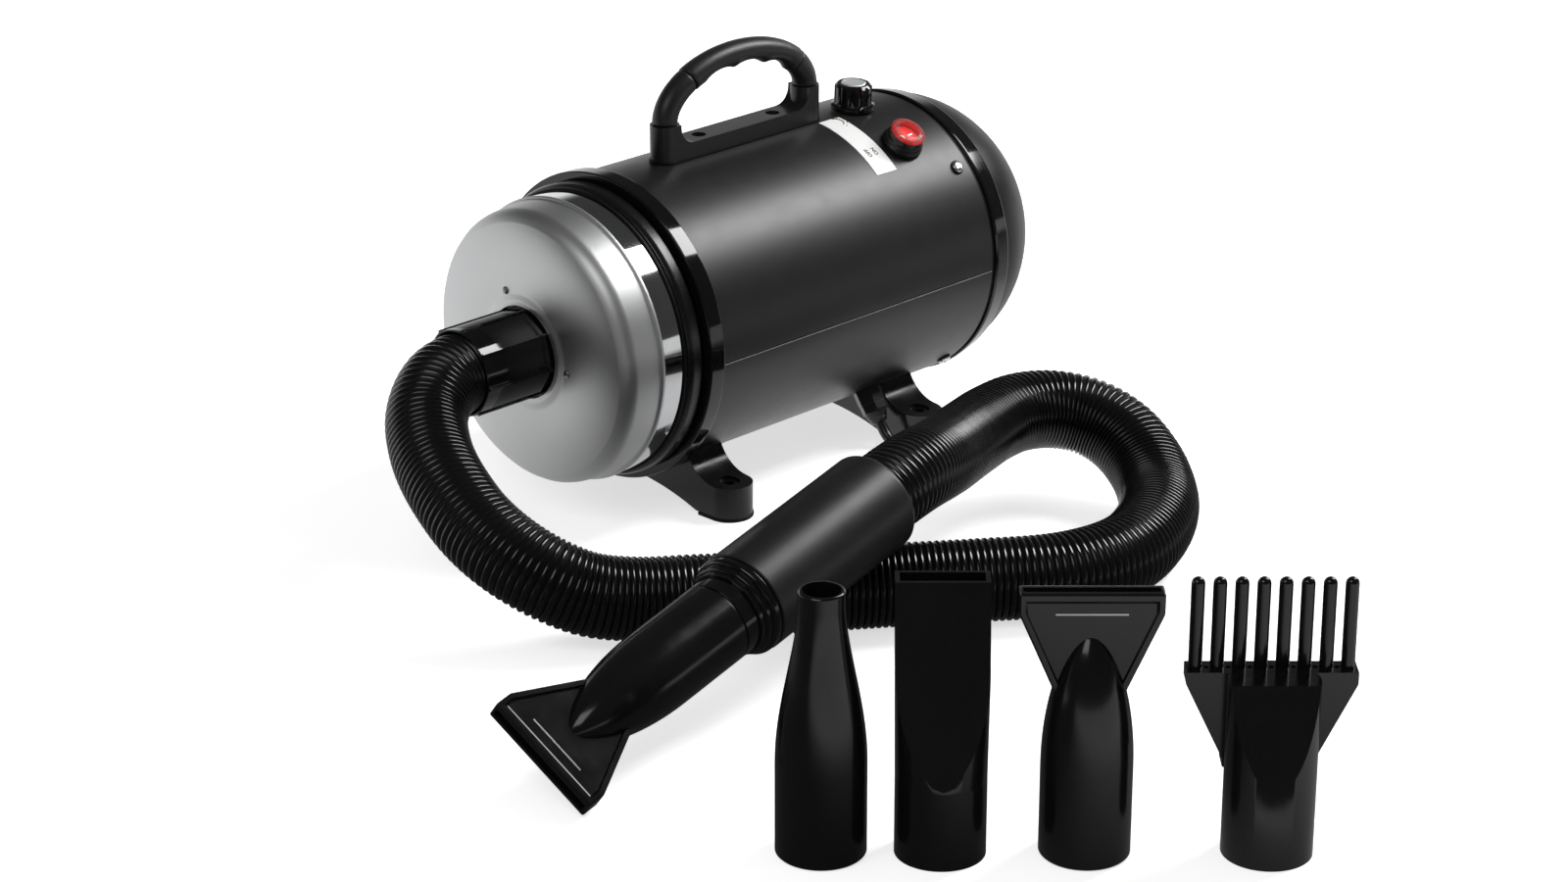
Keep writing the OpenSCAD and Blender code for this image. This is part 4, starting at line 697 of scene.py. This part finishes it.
def crossScrew(shank):
    # a pan head on z = 0 with a cross recess sunk into its crown
    s = screw
    head, high = s["head"], s["height"]
    bm = turnProfile([(0, high), (head * 0.5, high * 0.95), (head * 0.86, high * 0.7, 0.3),
                      (head, high * 0.3, 0.3), (head, 0), (s["shank"], 0), (s["shank"], -shank),
                      (0, -shank)], 32, loop=False)
    for axis in ((1, 0, 0), (0, 1, 0)):
        for cut in (-s["slotReach"], -s["slotHalf"], s["slotHalf"], s["slotReach"]):
            ops.bisect_plane(bm, geom=bm.verts[:] + bm.edges[:] + bm.faces[:],
                             plane_co=Vector(axis) * cut, plane_no=axis)
    cross = []
    for face in bm.faces:
        middle = face.calc_center_median()
        arms = sorted((abs(middle.x), abs(middle.y)))
        if middle.z > high * 0.5 and arms[0] < s["slotHalf"] and arms[1] < s["slotReach"]:
            cross.append(face)
    for vert in vertsOf(ops.extrude_face_region(bm, geom=cross)["geom"]):
        vert.co.z = high - s["slotDepth"]
    ops.delete(bm, geom=[face for face in cross if face.is_valid], context="FACES_ONLY")
    return bm


def makeScrews():
    s = screw
    heads, washers, ends = [], [], []
    for k in range(4):
        out = radialPlace(s["along"], s["angle"] + 90 * k)
        turn = Matrix.Rotation(0.5 * k, 4, "Z")
        heads.append(placed(crossScrew(4), out @ raised(s["seat"]) @ turn))
        washer = turnProfile([(1.7, -0.6), (1.7, 0.8), (4.3, 0.8, 0.25), (4.3, -0.6)], 40)
        washers.append(placed(washer, out @ raised(s["seat"] - 0.8)))
    for k in range(3):
        place = Matrix.Translation((dome["grilleEnd"], 0, axisHeight)) @ spun(120 * k + 90, "X") \
            @ Matrix.Translation((0, s["grilleAt"], 0)) @ spun(90, "Y")
        ends.append(placed(crossScrew(2.5), place))
    joinedPiece("casingScrews", heads, "screwSteel", slotName="polished_steel")
    joinedPiece("screwWashers", washers, "sealRubber")
    joinedPiece("grilleScrews", ends, "screwSteel")


makeScrews()
print("rear end made")


# carrying handle

handle = {"middle": -1.8, "halfSpan": 55.9, "top": 208.3, "rise": 29.7, "sleeve": 7.2, "grip": 7.5,
          "grooveFrom": 58, "grooveTo": 142, "groove": 2.4, "splits": (47, 145.6), "sides": 40}


def fingerGroove(a):
    # three hollows that meet in soft cusps
    start, end = handle["grooveFrom"], handle["grooveTo"]
    if not start < a < end:
        return 0
    share = (a - start) / (end - start)
    return handle["groove"] * abs(sin(3 * pi * share)) ** 0.8


def archStation(a, radius, grooved=False):
    turn, rise, half = radians(a), handle["rise"], handle["halfSpan"]
    centre = Vector((handle["middle"] - half * cos(turn), 0, handle["top"] + rise * sin(turn)))
    out = Vector((-rise * cos(turn), 0, half * sin(turn))).normalized()
    hollow = fingerGroove(a) if grooved else 0

    def reach(spin):
        return radius - hollow * max(0, -cos(spin)) ** 1.2

    return centre, Vector((0, -1, 0)), out, reach


def archPiece(name, start, end, radius, grooved=False, **tags):
    soft = [(0, 1.6), (0.35, 0.75), (0.9, 0.25)]  # degrees from the end, how far drawn in
    inset = 1.7
    count = 90 if grooved else 28
    stations = [archStation(start + a, radius - pull) for a, pull in soft]
    for k in range(count + 1):
        stations.append(archStation(start + inset + (end - start - 2 * inset) * k / count, radius, grooved))
    stations += [archStation(end - a, radius - pull) for a, pull in soft[::-1]]
    shapedPiece(name, sweepRings(stations, handle["sides"]), None, "softGrip", 40, **tags)


archPiece("frontSleeve", 0, handle["splits"][0], handle["sleeve"], nodes=["handle_front_sleeve"])
archPiece("handleGrip", *handle["splits"], handle["grip"], True)
archPiece("rearSleeve", handle["splits"][1], 180, handle["sleeve"], nodes=["handle_rear_sleeve"])
copiedPiece("handleBase", "handlePlastic", 1.7, 5)
copiedPiece("handleGasket", "sealRubber", 0.2, 2)
copiedPiece("handleScrews", "screwSteel", 0.25, 2)
print("handle made")


# controls

knob = {"along": 90, "angle": 92.8, "crown": 99.8, "cap": 7.3, "edge": 0.22}


def makeKnob():
    copiedPiece("speedKnob", "glossTrim", knob["edge"], body="knob")
    crown = radialPlace(knob["along"], knob["angle"]) @ raised(knob["crown"])
    axis = (crown.to_3x3() @ Vector((0, 0, 1))).normalized()
    finishes["spunCap"] = makeSpunFinish("spunCap", tuple((crown @ Vector((0, 0, 1.1))) * mm), tuple(axis))
    turnedPiece("knobCap", [(0, 0), (knob["cap"], 0), (knob["cap"], 0.7, 0.15), (6.9, 1.1, 0.2),
                            (6.5, 1.1, 0.1), (6.4, 1.0, 0.1), (0, 1.0)], crown, "spunCap", 96, loop=False,
                body="knob")


makeKnob()

button = {"along": 88, "angle": 122, "marks": (-3.3, 3.5), "foot": 94.5, "rise": 2.8, "wide": 10.4,
          "lip": 9.5, "steps": 14, "redBelow": 1.4, "clearWithin": 6.9,
          "boot": [(10.25, 82.6), (12.3, 82.6), (12.3, 88.0, 0.9), (11.45, 88.5, 0.3), (11.4, 91.0, 0.8),
                   (10.55, 91.4, 0.3), (10.4, 94.5, 0.4), (10.25, 94.5)]}


def lensCurve(wide, foot, rise):
    for k in range(button["steps"]):
        a = pi / 2 * k / button["steps"]
        yield wide * cos(a), foot + rise * sin(a)


def makeWindow(out):
    b = button
    foot, rise, wide = b["foot"], b["rise"], b["wide"]
    outside = [(b["lip"], foot - 3), (10.2, foot - 3), (10.2, foot), (wide, foot)]
    outside += list(lensCurve(wide, foot + 0.8, rise)) + [(0, foot + 0.8 + rise)]
    inside = [(0, foot + rise)] + list(lensCurve(wide - 0.9, foot - 0.2, rise + 0.2))[::-1]
    bm = bmesh.new()
    drawProfile(bm, outside, loop=False)
    drawProfile(bm, inside + [(b["lip"], foot - 3)], loop=False)
    spinRound(bm, 64)
    zones = []
    for face in bm.faces:
        middle = face.calc_center_median()
        far = hypot(middle.x, middle.y) > b["clearWithin"]
        zones.append(2 if middle.z < foot + b["redBelow"] else 1 if far else 0)
    mesh = closeMesh(bm, out, "switchWindow", 40)
    showPiece("switchWindow", mesh, "clearWindow")
    mesh.materials.append(finishes["windowSmoke"])
    mesh.materials.append(finishes["windowRim"])
    for face, zone in zip(mesh.polygons, zones):
        face.material_index = zone


def cubeShape(size, at):
    bm = bmesh.new()
    ops.create_cube(bm, size=1)
    ops.scale(bm, vec=size, verts=bm.verts)
    ops.translate(bm, vec=at, verts=bm.verts)
    return bm


def makeSwitch():
    out = radialPlace(button["along"], button["angle"])
    turnedPiece("switchBoot", button["boot"], out, "bootRubber", 96)
    makeWindow(out)
    copiedPiece("powerRocker", "rockerRed", 1.2, 4, body="rocker")
    rocker = copyNode("power_rocker")
    faces = BVHTree.FromBMesh(rocker)
    rocker.free()

    def markPlace(along):
        # on the rocker's own face, facing out of it
        start = (out @ Vector((along, 0, 110))) * mm
        inwards = (out.to_3x3() @ Vector((0, 0, -1))).normalized()
        spot, normal = faces.ray_cast(start, inwards)[:2]
        across = normal.cross(Vector((1, 0, 0))).normalized()
        turn = Matrix((across.cross(normal), across, normal)).transposed().to_4x4()
        return Matrix.Translation(spot / mm) @ turn

    off, on = (markPlace(along) for along in button["marks"])
    ringMark = turnProfile([(1.3, 0), (1.3, 0.16), (2.0, 0.16), (2.0, 0)], 40)
    barMark = cubeShape((3.2, 0.8, 0.16), (0, 0, 0.08))
    joinedPiece("rockerMarks", [placed(ringMark, off), placed(barMark, on)], "markWhite", body="rocker",
                nodes=[])


makeSwitch()

strip = {"along": 63.4, "surface": 85.35, "ink": 0.06, "arc": (4.6, (0.5, 1.5), 200, 350), "arcAngle": 100,
         "arcShift": 1.5, "dots": 5, "dotReach": 6.8, "wordAngle": 121.5, "words": {"OFF": -2.6, "ON": 2.6},
         "wordSize": 3.6}


def printOnStrip(bm, angle, shiftX=0.0):
    # wraps a flat drawing round the barrel: its right runs over the top and its up runs to the front
    lifted = ops.extrude_face_region(bm, geom=bm.faces[:])["geom"]
    ops.translate(bm, vec=(0, 0, strip["ink"]), verts=vertsOf(lifted))
    for vert in bm.verts:
        turn = radians(angle) - vert.co.x / strip["surface"]
        reach = strip["surface"] + vert.co.z - 0.01
        vert.co = Vector((strip["along"] + shiftX - vert.co.y, reach * cos(turn),
                          axisHeight + reach * sin(turn)))
    return bm


def wordMesh(words, size):
    curve = bpy.data.curves.new("word", "FONT")
    curve.body = words
    curve.size = size
    curve.align_x = "CENTER"
    curve.align_y = "CENTER"
    curve.resolution_u = 4
    curve.offset = 0.1
    holder = addObject("word", curve)
    graph = bpy.context.evaluated_depsgraph_get()
    mesh = bpy.data.meshes.new_from_object(holder.evaluated_get(graph))
    bm = bmesh.new()
    bm.from_mesh(mesh)
    bpy.data.objects.remove(holder)
    bpy.data.curves.remove(curve)
    bpy.data.meshes.remove(mesh)
    ops.remove_doubles(bm, verts=bm.verts, dist=mergeGap)
    return bm


def arcMesh(radius, widths, start, end, steps=24):
    # a flat arc that grows from a thin tail to a wide head
    bm = bmesh.new()
    rows = []
    for k in range(steps + 1):
        turn = radians(start + (end - start) * k / steps)
        half = (widths[0] + (widths[1] - widths[0]) * k / steps) / 2
        out = Vector((cos(turn), sin(turn), 0))
        rows.append([bm.verts.new(out * (radius - half)), bm.verts.new(out * (radius + half))])
    for a, b in zip(rows, rows[1:]):
        bm.faces.new((a[0], b[0], b[1], a[1]))
    return bm


def dotMesh(radius, at):
    bm = bmesh.new()
    ops.create_circle(bm, cap_ends=True, segments=16, radius=radius)
    ops.translate(bm, vec=(at[0], at[1], 0), verts=bm.verts)
    return bm


def makeStrip():
    s = strip
    copiedPiece("dialStrip", "labelWhite", 0)
    prints = [printOnStrip(arcMesh(*s["arc"]), s["arcAngle"], s["arcShift"])]
    for k in range(s["dots"]):
        turn = radians(205 + 35 * k)
        dot = dotMesh(0.4 + 0.1 * k, (s["dotReach"] * cos(turn), s["dotReach"] * sin(turn)))
        prints.append(printOnStrip(dot, s["arcAngle"], s["arcShift"]))
    for word, shiftX in s["words"].items():
        prints.append(printOnStrip(wordMesh(word, s["wordSize"]), s["wordAngle"], shiftX))
    joinedPiece("stripPrint", prints, "printInk", nodes=[])


makeStrip()
print("controls made")


# feet, gland

copiedPiece("frontBracket", "bracketCoat", 1.4, 4)
copiedPiece("rearBracket", "bracketCoat", 1.4, 4)
copiedPiece("frontPads", "sealRubber", 0.3, 2, "front_foot_pads")
copiedPiece("rearPads", "sealRubber", 0.3, 2, "rear_foot_pads")
copiedPiece("cableGland", "glandNylon", 0.4, 2)


def makeGlandCap():
    out = radialPlace(55.5, -125) @ raised(94)
    bm = turnProfile([(3.65, 0), (8, 0, 0.4), (8, 5, 0.4), (6.6, 5.6), (6.3, 6.4), (6.5, 6.6), (6.1, 7.5),
                      (6.2, 7.7), (5.8, 8.6), (5.9, 8.8), (5.3, 9.8), (5.35, 10), (4.75, 11), (4.65, 12, 0.4),
                      (3.65, 12, 0.2)], 48)
    for vert in bm.verts:
        if vert.co.z < 5.01 and hypot(vert.co.x, vert.co.y) > 7:
            turn = atan2(vert.co.y, vert.co.x) % (pi / 3) - pi / 6
            pull = cos(pi / 6) / cos(turn)
            vert.co.x *= pull
            vert.co.y *= pull
    shapedPiece("glandCap", bm, out, "glandNylon", 28)


makeGlandCap()
print("feet and gland made")


# wand and nozzles

wand = {
    "radius": 27.2, "length": 110, "bore": 23.3, "throat": 19.4, "seat": 45, "step": 12,
    "ring": [(16.6, 0), (25.6, 0), (25.6, 0.8, 0.3), (26.8, 1.4, 0.4), (26.8, 4.6, 0.9), (25.6, 5.4, 0.3),
             (24.6, 5.6, 0.2), (24.6, 8.2, 0.5), (23.6, 8.9, 0.3), (22.8, 9.0, 0.2), (22.8, 12, 0.3),
             (16.6, 12)],
    "spigot": [(16.6, 0), (21.4, 0, 0.3), (21.4, 9, 0.4), (18.6, 9), (18.6, 34, 0.5), (16.6, 34)],
}


def makeWand():
    w = wand
    r, long = w["radius"], w["length"]
    grip = [(w["bore"], 0, 0.5), (r, 0, 3.2), (r, long, 0.8), (w["throat"], long), (w["throat"], w["seat"]),
            (w["bore"], w["seat"])]
    turnedPiece("wandGrip", grip, wandPlace(), "wandPlastic", 160)
    turnedPiece("wandRing", w["ring"], wandPlace(long), "glossTrim", 160, slotName="nozzle_black")
    turnedPiece("wandSpigot", w["spigot"], wandPlace(long + w["step"]), "glossTrim", slotName="nozzle_black")


makeWand()

nozzle = {"socket": 21.4, "bore": 18.65, "wall": 1.8, "height": 132, "socketTop": 45, "bulletTop": 112,
          "width": 66, "thick": 8, "rimThick": 11, "slot": 5, "neckHalf": 16.3, "neckTop": 83, "lip": 121.6,
          "rim": 4, "flare": 1.35, "mouth": 27}


def bulletCorners(radius, top, steps=22):
    for k in range(1, steps):
        a = pi / 2 * k / steps
        yield radius * cos(a) ** 1.2, nozzle["socketTop"] + (top - nozzle["socketTop"]) * sin(a)


def plateSolid(outline, thick, soft=0.0):
    bm = bmesh.new()
    face = bm.faces.new([bm.verts.new((x, -thick / 2, z)) for x, z in outline])
    lifted = ops.extrude_face_region(bm, geom=[face])["geom"]
    ops.translate(bm, vec=(0, thick, 0), verts=vertsOf(lifted))
    if soft:
        bevelShape(bm, bm.edges[:], soft, "EDGES", 3, clamp_overlap=True)
    ops.recalc_face_normals(bm, faces=bm.faces)
    return bm


def fanOutline(inset, low, top):
    n = nozzle
    half, neck = n["width"] / 2 - inset, n["neckHalf"] - inset
    return [(-neck, low), (-neck, n["neckTop"]), (-half, n["lip"]), (-half, top), (half, top),
            (half, n["lip"]), (neck, n["neckTop"]), (neck, low)]


def makeFanNozzle(name, place, body):
    n = nozzle
    core = [(0, 0), (n["socket"] - 1, 0, 0.2), (n["socket"], 1, 0.3), (n["socket"], n["socketTop"])]
    core += list(bulletCorners(n["socket"], n["bulletTop"])) + [(0, n["bulletTop"])]
    solid = looseSolid(turnProfile(core, 96, loop=False), name)
    plate = looseSolid(plateSolid(fanOutline(0, 52, n["height"]), n["rimThick"], 1.1))
    hollows = []
    for side in (-1, 1):
        pocket = plateSolid(fanOutline(n["rim"], 40, n["height"] - n["rim"] - 1.2), n["rimThick"])
        for vert in pocket.verts:
            if vert.co.y * side > 0:
                vert.co.x *= n["flare"]
                vert.co.z = 90 + (vert.co.z - 90) * n["flare"]
        ops.translate(pocket, vec=(0, side * (n["thick"] / 2 + n["rimThick"] / 2), 0), verts=pocket.verts)
        hollows.append(looseSolid(pocket))
    makeBooleans(plate, hollows, "DIFFERENCE")
    makeBooleans(solid, [plate], "UNION")
    hollow = [(0, -1), (n["bore"], -1), (n["bore"], n["mouth"])]
    hollow += [(r - n["wall"] * 0.9, z) for r, z in bulletCorners(n["socket"], 104) if r - n["wall"] > 0.6]
    bore = looseSolid(turnProfile(hollow + [(0, 101)], 96, loop=False))
    slot = plateSolid(fanOutline(n["wall"], 60, n["height"] + 1), n["slot"], 1.2)
    makeBooleans(solid, [bore, looseSolid(slot)], "DIFFERENCE")
    # painted highlight: a thin bright metal strip across each face of the plate at its lip, where the edge
    # catches the light
    lines = [placed(cubeShape((33, 0.5, 0.8), (0, side * (n["thick"] / 2 + 0.1), 121.5)), place)
             for side in (-1, 1)]
    bm = bmesh.new()
    bm.from_mesh(solid.data)
    bpy.data.objects.remove(solid)
    shapedPiece(name, bm, place, "nozzleBlack", 30, body=body)
    joinedPiece(name + "Lines", lines, "plateBright", body=body, nodes=[])


makeFanNozzle("fanNozzle", wandPlace(131, 51), "wand_nozzle")
rowPlace = {"round": (-333, -387), "fan": (-247.49, -474.02)}


def standing(kind):
    return Matrix.Translation((*rowPlace[kind], 0)) @ spun(-45.5, "Z")


makeFanNozzle("spareFanNozzle", standing("fan"), "loose_fan_nozzle")


def makeRoundNozzle():
    n = nozzle
    tip, length, steps = 10.9, 79, 24
    curve = [(tip + (n["socket"] - tip) * cos(pi / 2 * k / steps) ** 1.6, n["socketTop"] + length * k / steps)
             for k in range(steps + 1)]
    corners = [(n["bore"], 0), (n["socket"] - 1, 0, 0.3), (n["socket"], 1, 0.3)] + curve
    top = n["height"]
    corners += [(tip, top - 0.8, 0.3), (tip - 0.8, top, 0.3), (tip - n["wall"], top)]
    corners += [(r - n["wall"], z) for r, z in curve[::-1]]
    corners += [(n["socket"] - n["wall"], n["mouth"]), (n["bore"], n["mouth"])]
    turnedPiece("roundNozzle", corners, standing("round"), "nozzleBlack", body="loose_round_nozzle")


makeRoundNozzle()
copiedPiece("slantNozzle", "nozzleBlack", 0.5, body="loose_slant_nozzle")
copiedPiece("combNozzle", "nozzleBlack", 0.4, body="loose_comb_nozzle")
print("wand and nozzles made")


# solids that keep their shape

keptSolids = {
    "intake_filter": "filterFoam", "speed_potentiometer": "motorCase", "potentiometer_nut": "screwSteel",
    "switch_body": "satinTrim", "bracket_screws": "screwSteel", "gland_locknut": "glandNylon",
    "bulkhead": "pressedSteel", "fan_shroud": "pressedSteel", "motor_frame": "motorCase",
    "motor_stator": "motorCore", "motor_bearings": "bearingSteel", "motor_rotor": "rotorCopper",
    "heater": "heaterFrame",
}
for node, finish in keptSolids.items():
    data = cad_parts[node].data
    data.materials.clear()
    data.materials.append(finishes[finish])


# floor, backdrop and lamps

studio = {"behind": (0.3, 0.954, 0), "front": (0, -1, 0), "pool": (0.12, -0.06, 0), "dim": 0.055,
          "ambient": 0.3, "lift": 0.65}


def fade(tree, source, *numbers):
    return mapRange(tree, source, numbers, interpolation_type="SMOOTHSTEP")


def farAlong(tree, vector, way):
    # how far a place lies, or a direction points, that way
    dot = addNode(tree, "ShaderNodeVectorMath", operation="DOT_PRODUCT")
    dot.inputs[1].default_value = studio[way]
    link(vector, dot.inputs[0])
    return dot.outputs["Value"]


def pickByRay(tree, output, plain, seen, mirrored):
    # plain light on the object, white for the camera, and the white in what gloss, metal and glass show
    path = addNode(tree, "ShaderNodeLightPath").outputs
    first = addNode(tree, "ShaderNodeMixShader")
    second = addNode(tree, "ShaderNodeMixShader")
    shown = joinValues(tree, "MAXIMUM", path["Is Glossy Ray"], path["Is Transmission Ray"])
    for node, share, under, over in ((first, path["Is Camera Ray"], plain.outputs[0], seen.outputs[0]),
                                     (second, shown, first.outputs[0], mirrored.outputs[0])):
        link(share, node.inputs[0])
        link(under, node.inputs[1])
        link(over, node.inputs[2])
    link(second.outputs[0], tree.nodes[output].inputs["Surface"])


def makeFloor():
    bm = bmesh.new()
    ops.create_grid(bm, x_segments=2, y_segments=2, size=30)
    mesh = bpy.data.meshes.new("floor")
    bm.to_mesh(mesh)
    bm.free()
    floor = addObject("floor", mesh)
    paint = bpy.data.materials.new("floorPaint")
    paint.use_nodes = True
    tree = paint.node_tree
    shader = tree.nodes["Principled BSDF"]
    matt = {"Base Color": (0.9, 0.9, 0.9, 1), "Roughness": 0.9, "Specular IOR Level": 0.1}
    for socket, value in matt.items():
        shader.inputs[socket].default_value = value
    lift = addNode(tree, "ShaderNodeEmission", Strength=studio["lift"])
    seen = addNode(tree, "ShaderNodeAddShader")
    link(shader.outputs[0], seen.inputs[0])
    link(lift.outputs[0], seen.inputs[1])
    # painted reflection: gloss, metal and glass see the floor as emitted white under the dryer, behind it and
    # well in front, with a painted dark band between, in place of its lit colour
    coords = addNode(tree, "ShaderNodeTexCoord").outputs["Object"]
    reach = addNode(tree, "ShaderNodeVectorMath", operation="DISTANCE")
    reach.inputs[1].default_value = studio["pool"]
    link(coords, reach.inputs[0])
    pool = fade(tree, reach.outputs["Value"], 0.1, 0.32, 1, studio["dim"])
    back = fade(tree, farAlong(tree, coords, "behind"), -0.2, 0.15, studio["dim"], 1)
    front = fade(tree, farAlong(tree, coords, "front"), 0.42, 0.75, studio["dim"], 0.8)
    both = joinValues(tree, "MAXIMUM", pool, back)
    mirrored = addNode(tree, "ShaderNodeEmission", Strength=joinValues(tree, "MAXIMUM", both, front))
    pickByRay(tree, "Material Output", shader, seen, mirrored)
    mesh.materials.append(paint)


def makeWorld():
    world = bpy.data.worlds.new("studio")
    scene.world = world
    world.use_nodes = True
    tree = world.node_tree
    light = tree.nodes["Background"]
    light.inputs["Color"].default_value = (1, 1, 1, 1)
    light.inputs["Strength"].default_value = studio["ambient"]
    white = addNode(tree, "ShaderNodeBackground", Color=(1, 1, 1, 1), Strength=1.0)
    coords = addNode(tree, "ShaderNodeTexCoord").outputs["Generated"]
    parts = addNode(tree, "ShaderNodeSeparateXYZ")
    link(coords, parts.inputs[0])
    back = fade(tree, farAlong(tree, coords, "behind"), 0.2, 0.75, 0, 1)
    low = fade(tree, parts.outputs["Z"], 0.12, 0.42, 1, 0)
    both = joinValues(tree, "MULTIPLY", back, low)
    mirrored = addNode(tree, "ShaderNodeBackground", Color=(1, 1, 1, 1),
                       Strength=fade(tree, both, 0, 1, studio["dim"], 1))
    pickByRay(tree, "World Output", light, white, mirrored)


# turn is the tilt about X, then the swing about Z; power goes with the size, so gloss shows the same white
lamps = {
    "keyBox": {"place": (1.6, -0.54, 1.264), "turn": (23.5, 0), "size": (2.1, 0.51), "power": 48},
    "fillBox": {"place": (-1.3, -0.5, 1.3), "turn": (42, -69), "size": (0.9, 0.7), "power": 5},
}


def makeLamps():
    for name, lamp in lamps.items():
        data = bpy.data.lights.new(name, "AREA")
        data.shape = "RECTANGLE"
        data.size, data.size_y = lamp["size"]
        data.energy = lamp["power"]
        holder = addObject(name, data)
        holder.location = lamp["place"]
        tilt, swing = lamp["turn"]
        holder.rotation_euler = (radians(tilt), 0, radians(swing))


makeFloor()
makeWorld()
makeLamps()
print("floor and lamps set")

bpy.context.view_layer.update()
